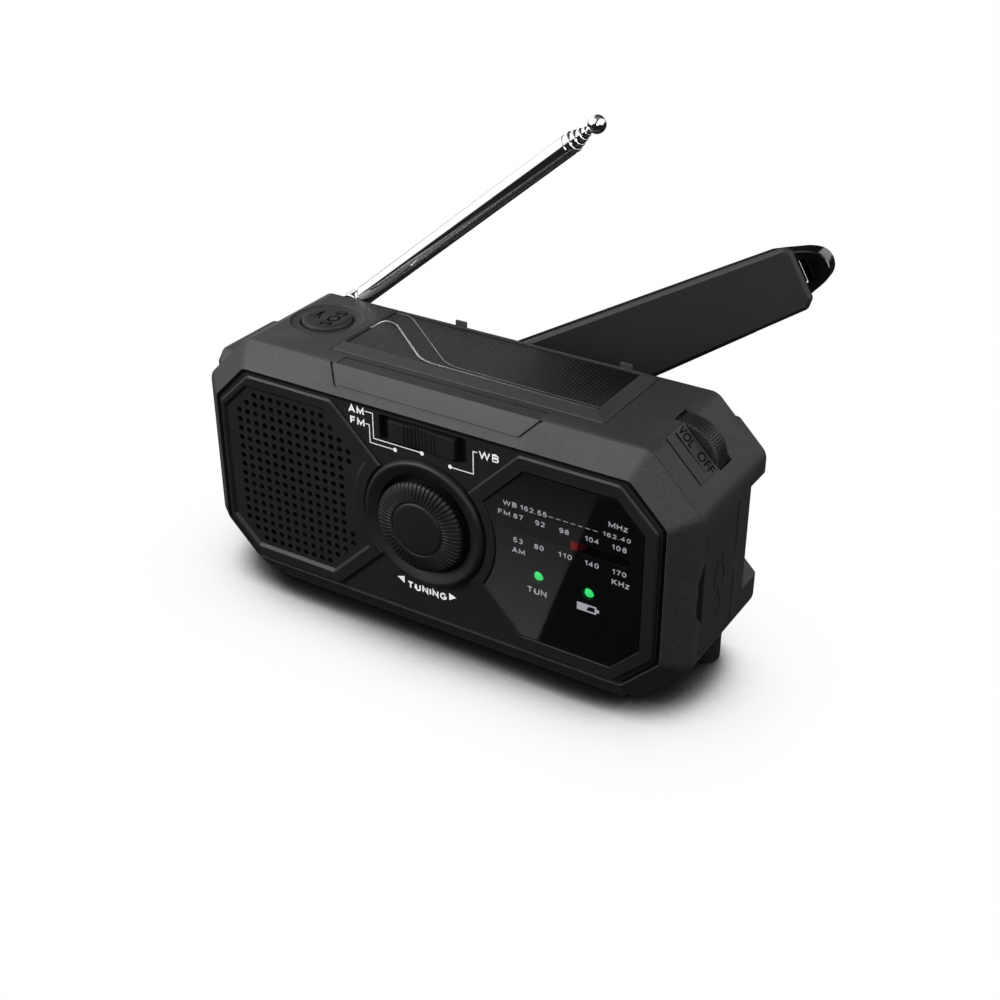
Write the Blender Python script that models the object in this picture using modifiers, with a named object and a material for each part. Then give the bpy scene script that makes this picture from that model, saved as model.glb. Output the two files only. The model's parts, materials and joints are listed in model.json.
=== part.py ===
"""Hand-crank emergency radio with solar panel, telescopic antenna and torch.

Frame: +X runs to the right along the front, +Y runs from the front to the back,
+Z is up.  The origin is the middle of the front foot strip's rest face, so the
ground is z = 0.  Lengths below are millimetres.  Points are given in the case
frame: x from the middle, y from the loudspeaker face, z from mid height.
"""
import math

import bmesh
import bpy
from mathutils import Matrix, Vector

MM = 0.001
CASE_Y, CASE_Z = -12.0, 42.0  # case frame's origin in the world
CLEARANCE = 0.3               # gap round parts that sit in an opening
# ---------------------------------------------------------------- case
CASE_HALF_W = 80.0            # half width of the octagonal case
CASE_HALF_H = 38.4
CASE_CHAMFER = 15.0           # 45 degree corners
CASE_ROUND = 3.0              # corner radius between flats
CREASE_Y = 6.2                # front bezel meets the rear shell here
BACK_Y = 47.4
WALL = 2.4
PANEL_OFF = 6.7               # bezel's inner edge, offset from the case outline
PLATEAU_Y = -0.8              # raised borders of the front panel
PANEL_Y = 0.3                 # sunk middle of the front panel
# ---------------------------------------------------------------- grille
GRILLE_Y = 0.0
HOLE_PITCH = 3.0
HOLE_D = 1.4
GRILLE_X0 = -49.65            # column 0 of the hole pattern
# first and last column of the middle row and of each row above and below it
GRILLE_SPANS = [(-5, 7), (-5, 7), (-5, 7), (-5, 7), (-5, 8), (-5, 8), (-5, 7), (-4, 6), (-3, 5)]
# ---------------------------------------------------------------- tuning knob and dial
RING_R = 19.6
WELL_R = 16.4
KNOB_R = 13.9
KNOB_CAP_R = 8.2
KNOB_FRONT_Y = -4.5
DRUM_R = 7.0
PULLEY_R = 3.3                # cord radius on the small pulleys
LEFT_PULLEY_X, RIGHT_PULLEY_X = 24.0, 66.0
CORD_Y = 6.3
CORD_R = 0.25
POINTER_X, POINTER_Z = 48.0, 8.25
LED_XS = {"tuning": 36.5, "battery": 52.1}
LED_Z = -5.0
SWITCH_X, SWITCH_Z = -0.4, 26.0         # band switch slider's middle
# ---------------------------------------------------------------- crank and gears
HUB_X, HUB_Z = -28.1, 3.0
HUB_R = 20.4
CRANK_ANGLE = math.radians(30.65)       # arm's direction above +X, turned about the hub
CRANK_SPLAY = math.radians(10.0)        # arm leans back from the case
HINGE_R = 13.1                # hinge pin from the hub's centre
HINGE_Y = 48.04
EYE_R = 3.7                   # hub's hinge eyes
PIN_BORE_R = 1.8
ARM_HALF_W = 12.7             # half width up to the start of the taper
TAPER_START, TAPER_END = 18.0, 106.0
TAPER = (12.7 - 9.25) / 90.0  # half width lost per millimetre
ARM_TIP = 117.8
GRIP_ALONG, GRIP_HEIGHT = 106.0, 6.1    # grip pin in the arm's frame
GEAR_MODULE = 0.8
CRANK_TEETH, PINION_TEETH = 40, 10
TOOTH_SHARE = 0.36            # tooth's share of the pitch
ADDENDUM, DEDENDUM = 0.70, 1.0          # in modules
GEAR_FRONT_Y, GEAR_BACK_Y = 26.9, 29.6
DYNAMO_ANGLE = -70.0          # degrees, from the hub to the dynamo
# ---------------------------------------------------------------- antenna
ANTENNA_X, ANTENNA_Y, ANTENNA_Z = -57.6, 48.2, 35.5
ANTENNA_ANGLE = math.radians(39.8)
TUBE_END = 98.2
TUBE_WALL = 0.35
# outer radius, start along the antenna, end beyond TUBE_END
TUBES = [(2.95, 4.6, 0.0), (2.45, 12.0, 1.7), (1.95, 13.0, 3.4), (1.45, 14.0, 5.0)]
BALL_ALONG, BALL_R = 106.5, 2.5
# ---------------------------------------------------------------- openings and what fills them
TORCH_Y = 27.0
TORCH_HALF_Y, TORCH_HALF_Z, TORCH_ROUND = 9.0, 22.0, 4.0
SOS_X, SOS_Y = -53.2, 28.8
WHEEL_X, WHEEL_Y, WHEEL_Z, WHEEL_R = 65.2, 28.0, 28.0, 10.0
SPEAKER_X = -44.6
COIL_Y, COIL_Z = 21.5, 29.5   # ferrite rod's axis
SOLAR_FRAME = (-39.5, 12.8, 47.8, 43.9)     # x0, y0, x1, y1
SOLAR_OPENING = (-38.3, 17.6, 43.2, 43.0)
SOLAR_FLOOR_Z = 37.4
DOOR = (-12.0, 16.0, 62.0, 34.0)            # battery door: x0, y0, x1, y1
DOOR_Z = -38.4
COVER = (10.2, -21.1, 29.55, 16.6)          # port cover: y0, z0, y1, z1
COVER_X0, COVER_X1 = 78.2, 80.0
USB = (13.3, 1.3, 26.3, 8.7)                # y0, z0, y1, z1
JACK_Y, JACK_Z, JACK_R = 19.8, -9.6, 2.9

# name: base colour, roughness, metallic
MATERIALS = {
    "case": ((0.040, 0.041, 0.043), 0.62, 0.0),
    "panel": ((0.016, 0.016, 0.017), 0.50, 0.0),
    "gloss": ((0.006, 0.006, 0.007), 0.12, 0.0),
    "clear": ((0.02, 0.02, 0.02), 0.05, 0.0),
    "rubber": ((0.018, 0.018, 0.019), 0.85, 0.0),
    "chrome": ((0.80, 0.80, 0.82), 0.10, 1.0),
    "steel": ((0.50, 0.50, 0.52), 0.35, 1.0),
    "brass": ((0.72, 0.53, 0.22), 0.35, 1.0),
    "solar": ((0.006, 0.007, 0.012), 0.15, 0.0),
    "red": ((0.62, 0.012, 0.010), 0.35, 0.0),
    "green": ((0.02, 0.55, 0.10), 0.25, 0.0),
    "board": ((0.02, 0.10, 0.035), 0.45, 0.0),
    "paper": ((0.05, 0.045, 0.04), 0.90, 0.0),
    "copper": ((0.70, 0.28, 0.12), 0.35, 1.0),
    "battery": ((0.05, 0.12, 0.30), 0.40, 0.0),
    "ferrite": ((0.04, 0.038, 0.036), 0.60, 0.0),
    "nylon": ((0.62, 0.60, 0.54), 0.50, 0.0),
    "mirror": ((0.85, 0.86, 0.88), 0.06, 1.0),
}

# ================================================================ scene
for old_object in list(bpy.data.objects):
    bpy.data.objects.remove(old_object, do_unlink=True)
for blocks in (bpy.data.meshes, bpy.data.curves, bpy.data.materials, bpy.data.collections):
    for block_data in list(blocks):
        blocks.remove(block_data)
PARTS = bpy.data.collections.new("emergency_radio")
bpy.context.scene.collection.children.link(PARTS)


def material(name):
    found = bpy.data.materials.get(name)
    if found:
        return found
    colour, roughness, metallic = MATERIALS[name]
    made = bpy.data.materials.new(name)
    made.use_nodes = True
    inputs = made.node_tree.nodes["Principled BSDF"].inputs
    inputs["Base Color"].default_value = (*colour, 1.0)
    inputs["Roughness"].default_value = roughness
    inputs["Metallic"].default_value = metallic
    made.diffuse_color = (*colour, 1.0)
    return made


# ================================================================ placing
X, Y, Z = Vector((1, 0, 0)), Vector((0, 1, 0)), Vector((0, 0, 1))
ORIGIN = (0, 0, 0)


def world(x, y, z):
    return Vector((x, y + CASE_Y, z + CASE_Z)) * MM


def frame(local_x, local_y, local_z, at):
    """Matrix whose local axes run along three vectors, with its origin at a case point."""
    turn = Matrix((local_x, local_y, local_z)).transposed().to_4x4()
    return Matrix.Translation(world(*at)) @ turn


def facing_front(at=ORIGIN):   # local x -> X, local y -> Z, local z -> -Y
    return frame(X, Z, -Y, at)


def along_x(at=ORIGIN):        # local x -> Y, local y -> Z, local z -> X
    return frame(Y, Z, X, at)


def along_y(at):               # local x -> Z, local y -> X, local z -> Y
    return frame(Z, X, Y, at)


def along_z(at=ORIGIN):
    return frame(X, Y, Z, at)


def quarter_turn(matrix, axis, at=ORIGIN):
    """Turn a frame so local z runs along its old +y (axis "X") or old -x (axis "Y")."""
    return matrix @ Matrix.Translation(Vector(at) * MM) @ Matrix.Rotation(-math.pi / 2, 4, axis)


def set_origin(obj, at):
    """Move an object's origin to a case point without moving its surface."""
    shift = obj.matrix_world.inverted() @ world(*at)
    obj.data.transform(Matrix.Translation(-shift))
    obj.matrix_world = obj.matrix_world @ Matrix.Translation(shift)


# ================================================================ solids
# A solid made without a material is a cutter, removed once it has been used.
def add(name, mesh, matrix, mat=None):
    """Put a mesh, given in millimetres, in the scene as an object in metres."""
    obj = bpy.data.objects.new(name, mesh)
    mesh.transform(Matrix.Scale(MM, 4))
    obj.matrix_world = matrix
    PARTS.objects.link(obj)
    if mat:
        mesh.materials.append(material(mat))
    return obj


def finish(builder, name):
    bmesh.ops.recalc_face_normals(builder, faces=builder.faces)
    mesh = bpy.data.meshes.new(name)
    builder.to_mesh(mesh)
    builder.free()
    return mesh


def curve_mesh(name, loops, height=0.0, **settings):
    """Mesh of a curve made of closed straight-sided loops."""
    curve = bpy.data.curves.new(name, "CURVE")
    for setting, value in settings.items():
        setattr(curve, setting, value)
    for loop in loops:
        spline = curve.splines.new("POLY")
        spline.points.add(len(loop) - 1)
        for point, (x, y) in zip(spline.points, loop):
            point.co = (x, y, height, 1)
        spline.use_cyclic_u = True
    holder = bpy.data.objects.new(name + "_curve", curve)
    bpy.context.scene.collection.objects.link(holder)
    bpy.context.view_layer.update()
    evaluated = holder.evaluated_get(bpy.context.evaluated_depsgraph_get())
    mesh = bpy.data.meshes.new_from_object(evaluated)
    bpy.data.objects.remove(holder)
    bpy.data.curves.remove(curve)
    return mesh


def flat(name, loops, low, high, matrix, mat=None):
    """A flat outline with holes, filled and extruded along local z from low to high."""
    mesh = curve_mesh(name, loops, dimensions="2D", fill_mode="BOTH", extrude=(high - low) / 2)
    builder = bmesh.new()
    builder.from_mesh(mesh)
    bpy.data.meshes.remove(mesh)
    bmesh.ops.translate(builder, verts=builder.verts, vec=(0, 0, (high + low) / 2))
    bmesh.ops.remove_doubles(builder, verts=builder.verts, dist=0.0005)
    return add(name, finish(builder, name), matrix, mat)


def slab(name, loops, front_y, back_y, mat=None, at=(0, 0)):
    """A flat solid between two depths, its loops given as (x, z) from the point at."""
    return flat(name, loops, -back_y, -front_y, facing_front((at[0], 0, at[1])), mat)


def rod(name, radius, low, high, matrix, mat=None, seg=20, top_radius=None):
    """A cylinder or cone along local z."""
    builder = bmesh.new()
    bmesh.ops.create_cone(builder, cap_ends=True, cap_tris=False, segments=seg, radius1=radius,
                          radius2=radius if top_radius is None else top_radius, depth=high - low)
    bmesh.ops.translate(builder, verts=builder.verts, vec=(0, 0, (high + low) / 2))
    obj = add(name, finish(builder, name), matrix, mat)
    if mat:
        obj.data.shade_smooth()
        obj.data.set_sharp_from_angle(angle=math.radians(35))
    return obj


def box(name, low, high, mat=None, matrix=None, bevel=0.0):
    """A box between two corners; case coordinates unless a matrix is given."""
    builder = bmesh.new()
    bmesh.ops.create_cube(builder, size=1.0)
    size = [b - a for a, b in zip(low, high)]
    middle = [(a + b) / 2 for a, b in zip(low, high)]
    bmesh.ops.scale(builder, verts=builder.verts, vec=size)
    bmesh.ops.translate(builder, verts=builder.verts, vec=middle)
    obj = add(name, finish(builder, name), matrix or along_z(), mat)
    if bevel:
        edges = obj.modifiers.new("edges", "BEVEL")
        edges.width = bevel * MM
        edges.segments = 1
        edges.limit_method = "ANGLE"
    return obj


def block(name, bounds, low, high, axis, mat=None):
    """A box with (x, y) bounds run along "Z", or (y, z) bounds run along "X"."""
    a0, b0, a1, b1 = bounds
    if axis == "X":
        return box(name, (low, a0, b0), (high, a1, b1), mat)
    return box(name, (a0, b0, low), (a1, b1, high), mat)


def turned(name, profile, matrix, mat, seg=32):
    """A solid turned about local z from (radius, height) points.
    A profile that meets the axis starts and ends there; any other is closed into a ring."""
    points = list(profile)
    area = sum(a[0] * b[1] - b[0] * a[1] for a, b in zip(points, points[1:] + points[:1]))
    if area > 0:
        points.reverse()
    edges = [(i, i + 1) for i in range(len(points) - 1)]
    if all(radius > 0 for radius, _ in points):
        edges.append((len(points) - 1, 0))
    mesh = bpy.data.meshes.new(name)
    mesh.from_pydata([(radius, 0, height) for radius, height in points], edges, [])
    obj = add(name, mesh, matrix, mat)
    screw = obj.modifiers.new("turn", "SCREW")
    screw.steps = seg
    screw.render_steps = seg
    screw.use_merge_vertices = True
    screw.merge_threshold = 0.00001
    screw.use_normal_calculate = False
    screw.use_smooth_shade = True
    return obj


def combine(target, tools, operation):
    """Apply a boolean with every tool to the target's mesh, then remove the tools."""
    for tool in tools:
        boolean = target.modifiers.new(tool.name, "BOOLEAN")
        boolean.operation = operation
        boolean.object = tool
        boolean.solver = "EXACT"
    bpy.context.view_layer.update()
    evaluated = target.evaluated_get(bpy.context.evaluated_depsgraph_get())
    mesh = bpy.data.meshes.new_from_object(evaluated)
    old_mesh = target.data
    target.modifiers.clear()
    target.data = mesh
    bpy.data.meshes.remove(old_mesh)
    for tool in tools:
        bpy.data.objects.remove(tool, do_unlink=True)


def join(target, *tools):
    combine(target, tools, "UNION")


def carve(target, *tools):
    combine(target, tools, "DIFFERENCE")


# ================================================================ outlines
def rounded(corners, radius, steps=2):
    """Round every corner of a closed polygon with an arc."""
    out = []
    for i, corner in enumerate(corners):
        corner = Vector(corner)
        before = Vector(corners[i - 1]) - corner
        after = Vector(corners[(i + 1) % len(corners)]) - corner
        shortest = 0.48 * min(before.length, after.length)
        before.normalize()
        after.normalize()
        half = before.angle(after) / 2
        tangent = min(radius / math.tan(half), shortest)
        fitted = tangent * math.tan(half)
        centre = corner + (before + after).normalized() * (fitted / math.sin(half))
        start = corner + before * tangent - centre
        end = corner + after * tangent - centre
        angle0 = math.atan2(start.y, start.x)
        sweep = (math.atan2(end.y, end.x) - angle0 + math.pi) % (2 * math.pi) - math.pi
        for k in range(steps + 1):
            angle = angle0 + sweep * k / steps
            out.append((centre.x + fitted * math.cos(angle), centre.y + fitted * math.sin(angle)))
    return out


def octagon(offset, radius=None):
    """Case outline moved inwards by offset, as (x, z) points."""
    a, b = CASE_HALF_W - offset, CASE_HALF_H - offset
    c = CASE_CHAMFER - offset * (2 - math.sqrt(2))
    corners = [(a, b - c), (a - c, b), (-a + c, b), (-a, b - c),
               (-a, -b + c), (-a + c, -b), (a - c, -b), (a, -b + c)]
    if radius is None:
        radius = max(CASE_ROUND - 0.4 * offset, 0.8)
    return rounded(corners, radius)


def rect(x0, y0, x1, y1, radius=0.0, steps=2):
    corners = [(x0, y0), (x1, y0), (x1, y1), (x0, y1)]
    return rounded(corners, radius, steps) if radius else corners


def centred_rect(x, y, half_x, half_y, radius=0.0, steps=2):
    return rect(x - half_x, y - half_y, x + half_x, y + half_y, radius, steps)


def grown(bounds, by=CLEARANCE):
    x0, y0, x1, y1 = bounds
    return x0 - by, y0 - by, x1 + by, y1 + by


def arc(x, y, radius, start, end, steps):
    """Points on an arc between two angles in degrees, both ends included."""
    angles = [math.radians(start + (end - start) * k / steps) for k in range(steps + 1)]
    return [(x + radius * math.cos(a), y + radius * math.sin(a)) for a in angles]


def circle(x, y, radius, count, start=0):
    return arc(x, y, radius, start, start + 360 * (count - 1) / count, count - 1)


def mirrored(half):
    """Close a half outline with its mirror image across the first axis."""
    return half + [(a, -b) for a, b in reversed(half)]


# Panel openings and borders either side of the knob: side (-1 left, 1 right), inner x,
# corner x, outer x, corner z, edge z, radius and end angle of the arc round the knob.
SPEAKER = (-1, 33.0, 60.9, 69.2, 18.1, 26.2, 24.5, math.degrees(math.atan2(14.1, 20.9)))
WINDOW = (1, 31.85, 59.2, 67.4, 17.65, 25.8, 23.4, math.degrees(math.atan2(13.2, 19.5)))
LEFT_BORDER = (-1, 30.6, 60.2, 71.4, 19.6, 30.3, 20.3, 45)
RIGHT_BORDER = (1, 30.2, 60.2, 71.4, 19.6, 30.3, 20.3, 45)


def side_outline(shape, grow=0.0):
    side, inner_x, corner_x, outer_x, corner_z, edge_z, radius, angle = shape
    shift = 0.41 * grow        # slide of a 45 degree corner along its edge
    angle += 1.2 * grow
    points = mirrored([(inner_x - shift, -edge_z - grow), (corner_x + shift, -edge_z - grow),
                       (outer_x + grow, -corner_z - shift)])
    points += arc(0, 0, radius - grow, angle, -angle, 8)
    return [(side * x, z) for x, z in points]


# ================================================================ front of the case
def front_shell():
    """Sloping bezel: a closed section of (offset, y) corners swept round the case outline."""
    section = [(0, CREASE_Y), (PANEL_OFF, 0.0), (PANEL_OFF, 2.7), (10.0, 2.7),
               (10.0, 4.5), (4.4, 9.0), (2.7, 9.0), (2.7, CREASE_Y)]
    builder = bmesh.new()
    rings = [[builder.verts.new((x, y, z)) for x, z in octagon(offset)] for offset, y in section]
    for ring, following in zip(rings, rings[1:] + rings[:1]):
        for k in range(len(ring)):
            n = (k + 1) % len(ring)
            builder.faces.new((ring[k], ring[n], following[n], following[k]))
    add("front_shell", finish(builder, "front_shell"), along_z(), "case")


def front_panel():
    speaker = side_outline(SPEAKER, CLEARANCE)
    window = side_outline(WINDOW, CLEARANCE)
    knob_opening = circle(0, 0, 17.2, 36)
    switch_opening = centred_rect(SWITCH_X, 25.9, 14.1, 3.7, 0.8)
    panel = slab("front_panel", [octagon(PANEL_OFF + 0.35, 1.2), speaker, window,
                                 knob_opening, switch_opening], PANEL_Y, 2.35, "panel")
    borders = [slab(name, [side_outline(shape), opening], PLATEAU_Y, PANEL_Y + 0.1, "panel")
               for name, shape, opening in (("left_border", LEFT_BORDER, speaker),
                                            ("right_border", RIGHT_BORDER, window))]
    join(panel, *borders)


def speaker_grille():
    loops = [side_outline(SPEAKER)]
    last_row = len(GRILLE_SPANS) - 1
    for row in range(-last_row, last_row + 1):
        first, last = GRILLE_SPANS[abs(row)]
        for column in range(first, last + 1):
            loops.append(circle(GRILLE_X0 + column * HOLE_PITCH, -row * HOLE_PITCH,
                                HOLE_D / 2, 4, start=45))
    slab("speaker_grille", loops, GRILLE_Y, 1.4, "panel")


front_shell()
front_panel()
speaker_grille()

# ================================================================ tuning knob and dial drive
turned("knob_ring", [(RING_R, 0.0), (19.0, 1.5), (18.2, 1.9), (17.2, 1.5), (WELL_R, 0.6),
                     (WELL_R, -1.3), (5.0, -1.3), (5.0, -2.6), (16.9, -2.6), (16.9, 0.0)],
       facing_front(), "panel")
turned("tuning_knob", [(0, -KNOB_FRONT_Y), (KNOB_CAP_R, -KNOB_FRONT_Y), (11.6, 4.3), (13.2, 3.4),
                       (KNOB_R, 2.2), (KNOB_R, -0.8), (3.3, -0.8), (3.3, 2.6), (0, 2.6)],
       facing_front(), "panel")
rod("knob_shaft", 3.0, -15.9, 2.3, facing_front(), "steel", seg=16)


def cord_wheel(name, bore, groove, rim, at, seg):
    """A grooved wheel centred on the cord's depth."""
    turned(name, [(bore, 1.1 - CORD_Y), (rim, 1.1 - CORD_Y), (groove, 0.3 - CORD_Y),
                  (groove, -0.3 - CORD_Y), (rim, -1.1 - CORD_Y), (bore, -1.1 - CORD_Y)],
           facing_front(at), "nylon", seg)


def dial_cord():
    """Closed cord round the drum and the two pulleys."""
    z = POINTER_Z - PULLEY_R
    path = arc(RIGHT_PULLEY_X, z, PULLEY_R, 90, -90, 4)
    path += arc(LEFT_PULLEY_X, z, PULLEY_R, -90, -110, 1)
    path += arc(0, 0, DRUM_R + 0.65, -60, -300, 12)
    path += arc(LEFT_PULLEY_X, z, PULLEY_R, 110, 90, 1)
    mesh = curve_mesh("dial_cord", [path], height=-CORD_Y,
                      dimensions="3D", bevel_depth=CORD_R, bevel_resolution=0)
    add("dial_cord", mesh, facing_front(), "nylon")


cord_wheel("dial_drum", 3.3, DRUM_R, DRUM_R + 0.9, ORIGIN, 24)
for side, pulley_x in (("left", LEFT_PULLEY_X), ("right", RIGHT_PULLEY_X)):
    cord_wheel("cord_pulley_" + side, 1.3, 2.6, 3.4, (pulley_x, 0, POINTER_Z - PULLEY_R), 14)
dial_cord()

# ================================================================ dial window
slab("dial_window", [side_outline(WINDOW)], PLATEAU_Y, 0.15, "clear")
pointer_slot = rect(24.4, POINTER_Z - 1.45, 63.8, POINTER_Z + 1.45, 1.4, 3)
led_holes = [circle(x, LED_Z, 1.8, 12) for x in LED_XS.values()]
slab("dial_plate", [side_outline(WINDOW, -0.4), pointer_slot] + led_holes, 0.45, 1.5, "gloss")
pointer = slab("dial_pointer", [centred_rect(POINTER_X, POINTER_Z, 1.9, 1.2)], 0.6, 2.9, "red")
join(pointer, slab("carriage", [centred_rect(POINTER_X, POINTER_Z, 1.9, 2.65)], 2.8, 4.9, "red"))
for led, led_x in LED_XS.items():
    turned("led_" + led, [(0, -0.6), (0.9, -0.75), (1.45, -1.3), (1.5, -1.9), (1.5, -6.0),
                          (0, -6.0)], facing_front((led_x, 0, LED_Z)), "green", 12)

# ================================================================ band switch
slider = slab("band_switch_slider", [centred_rect(SWITCH_X, SWITCH_Z, 10.8, 3.2, 0.6)],
              -0.6, 2.0, "panel")
join(slider,
     slab("slider_flange", [centred_rect(SWITCH_X, 24.5, 14.8, 3.5)], 2.65, 3.6, "panel"),
     slab("slider_neck", [centred_rect(SWITCH_X, SWITCH_Z, 7.6, 2.0)], 1.5, 3.0, "panel"))
box("band_switch_body", (SWITCH_X - 12.6, 4.2, 19.8), (SWITCH_X + 12.6, 9.6, 28.0), "steel")

# ================================================================ rear shell
HUB_AXIS = along_y((HUB_X, 0, HUB_Z))
ANTENNA_PIVOT = along_y((ANTENNA_X, 0, ANTENNA_Z))
SOS_AXIS = along_z((SOS_X, SOS_Y, 0))
WHEEL_AXIS = along_y((WHEEL_X, 0, WHEEL_Z))
JACK_AXIS = along_x((0, JACK_Y, JACK_Z))


def torch_window(inset):
    """Rounded torch opening as (y, z), moved inwards."""
    return centred_rect(TORCH_Y, 0, TORCH_HALF_Y - inset, TORCH_HALF_Z - inset,
                        TORCH_ROUND - inset)


rear = slab("rear_shell", [octagon(0)], CREASE_Y + 0.3, BACK_Y, "case")
carve(rear,
      slab("cavity", [octagon(WALL)], 0, 34.4),
      box("upper_hollow", (-70, 30, 19.0), (70, 43.0, 30.6)),
      box("lower_hollow", (-66, 30, -33.0), (68, 45.0, -18.4)))
join(rear, rod("hub_boss", 24.0, 30.4, 36.0, HUB_AXIS, "case", seg=32))

# back: stow channel for the crank arm, flared at its open right end, and the antenna's groove
channel = [(-49.0, -10.4), (75.2, -10.4), (84.0, -19.2), (84.0, 17.7), (-49.0, 16.5)]
carve(rear,
      slab("channel", [channel], 37.0, 50.0),
      rod("hub_pocket", HUB_R + 0.8, 33.2, 50.0, HUB_AXIS, seg=40),
      rod("axle_hole", 6.9, 25.0, 40.0, HUB_AXIS, seg=24),
      box("antenna_groove", (-66.0, 45.0, 31.5), (71.5, 52.0, 44.0)),
      rod("stud_hole", 2.3, 40.0, 50.0, ANTENNA_PIVOT, seg=14))

# top, upper right corner, right end, left end and floor
slope = Vector((1, 0, -1)).normalized()
outward = Vector((1, 0, 1)).normalized()
carve(rear,
      block("solar_pocket", grown(SOLAR_FRAME), SOLAR_FLOOR_Z - CLEARANCE, 45.0, "Z"),
      rod("button_room", 9.5, 26.0, 36.0, SOS_AXIS, seg=28),
      rod("button_hole", 7.95, 30.0, 50.0, SOS_AXIS, seg=28),
      box("wheel_slot", (-7.6, -3.5, -8.0), (7.6, 3.5, 6.0),
          matrix=frame(slope, Y, outward, (70.25, WHEEL_Y, 33.15))),
      rod("wheel_room", WHEEL_R + 0.9, 24.5, 31.5, WHEEL_AXIS, seg=32),
      block("flap_pocket", grown(COVER), COVER_X0 - CLEARANCE, 82.0, "X"),
      rod("finger_notch", 12.0, 78.6, 82.0, along_x((0, 18.0, -1.2)), seg=32),
      block("usb_hole", grown(USB), 70.0, 79.0, "X"),
      rod("jack_hole", JACK_R + CLEARANCE, 70.0, 79.0, JACK_AXIS, seg=16),
      flat("torch_hole", [torch_window(0)], -82.0, -72.0, along_x()),
      block("door_hole", grown(DOOR), -40.0, -34.0, "Z"))

# two clips on the upper edge of the back
join(rear, *[box("clip", (x, 44.2, 36.0), (x + 3.8, 45.0, 40.3), "case") for x in (-18.3, 35.8)])

# ================================================================ solar module
flat("solar_frame", [rect(*SOLAR_FRAME, 0.5, 1), rect(*SOLAR_OPENING)],
     SOLAR_FLOOR_Z, 39.2, along_z(), "case")
flat("solar_panel", [rect(*grown(SOLAR_OPENING, -CLEARANCE))],
     SOLAR_FLOOR_Z, 38.8, along_z(), "solar")

# ================================================================ torch and SOS button
turned("sos_button", [(0, 39.1), (6.6, 39.1), (7.3, 38.6), (7.6, 37.9), (7.6, 35.6), (8.9, 35.6),
                      (8.9, 34.4), (0, 34.4)], SOS_AXIS, "case", 24)
switch = box("sos_switch", (SOS_X - 3.2, SOS_Y - 3.2, 27.0), (SOS_X + 3.2, SOS_Y + 3.2, 31.4),
             "steel")
join(switch, rod("plunger", 1.8, 31.0, 33.2, SOS_AXIS, "steel", seg=12))

bezel_half = [(12.4, -24.2), (15.6, -27.6), (39.0, -27.6), (42.0, -24.6)]      # y, z
bezel = flat("torch_bezel", [rounded(mirrored(bezel_half), 1.4, 1), torch_window(CLEARANCE)],
             -83.8, -75.0, along_x(), "case")
carve(bezel, slab("bezel_seat", [octagon(-0.3)], 5.0, 60.0))
flat("torch_lens", [torch_window(2 * CLEARANCE)], -82.7, -81.2, along_x(), "clear")
reflector = flat("torch_reflector", [torch_window(2 * CLEARANCE)], -80.9, -73.0, along_x(),
                 "mirror")
carve(reflector, *[rod("bowl", 3.2, -2.5, 5.6, frame(Y, Z, -X, (-75.4, TORCH_Y, z)),
                       top_radius=6.4) for z in (-14.0, 0.0, 14.0)])

# ================================================================ volume wheel
turned("volume_wheel", [(2.3, 24.9), (WHEEL_R - 0.4, 24.9), (WHEEL_R, 25.3), (WHEEL_R, 30.7),
                        (WHEEL_R - 0.4, 31.1), (2.3, 31.1)], WHEEL_AXIS, "panel", 36)
volume_pot = rod("volume_pot", 4.4, 15.0, 24.2, WHEEL_AXIS, "steel", seg=16)
join(volume_pot, rod("pot_shaft", 2.0, 24.0, 30.8, WHEEL_AXIS, "steel", seg=12))

# ================================================================ sockets and their rubber cover
flat("port_cover", [rect(*COVER, 0.4, 1)], COVER_X0, COVER_X1, along_x(), "rubber")
usb_socket = block("usb_socket", USB, 66.0, 77.5, "X", "steel")
carve(usb_socket, box("usb_mouth", (69.0, 14.0, 2.0), (78.0, 25.6, 5.6)))
charge_socket = rod("charge_socket", JACK_R, 64.0, 77.5, JACK_AXIS, "steel", seg=16)
carve(charge_socket, rod("jack_mouth", 1.8, 66.0, 78.0, JACK_AXIS, seg=12))

# ================================================================ inside
slab("main_pcb", [rect(-9.0, -33.0, 62.0, 33.0), circle(0, 0, 3.7, 24)], 12.0, 13.6, "board")
box("tuning_capacitor", (-8.8, 16.2, -9.0), (9.2, 25.0, 9.0), "nylon")
turned("speaker_basket", [(24.9, -2.65), (24.9, -3.6), (23.0, -3.9), (13.6, -13.0), (13.6, -14.2),
                          (11.6, -14.2), (11.6, -12.6), (21.6, -3.2), (21.6, -2.65)],
       facing_front((SPEAKER_X, 0, 0)), "steel", 20)
turned("speaker_cone", [(0, -10.6), (3.6, -11.0), (9.4, -13.1), (20.6, -3.6), (21.2, -3.1),
                        (21.2, -2.6), (20.0, -3.0), (9.4, -12.2), (3.6, -10.2), (0, -9.8)],
       facing_front((SPEAKER_X, 0, 0)), "paper", 20)
rod("speaker_magnet", 12.0, 14.6, 22.0, along_y((SPEAKER_X, 0, 0)), "ferrite", seg=24)
rod("ferrite_rod", 4.0, -30.0, 30.0, along_x((14.0, COIL_Y, COIL_Z)), "ferrite", seg=14)
turned("antenna_coil", [(4.3, -8.0), (5.2, -8.0), (5.2, 8.0), (4.3, 8.0)],
       along_x((26.0, COIL_Y, COIL_Z)), "copper", 14)
box("battery_pack", (-8.0, 16.6, -33.4), (58.0, 33.4, -23.5), "battery", bevel=0.8)
block("battery_door", DOOR, DOOR_Z, -36.2, "Z", "case")


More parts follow.
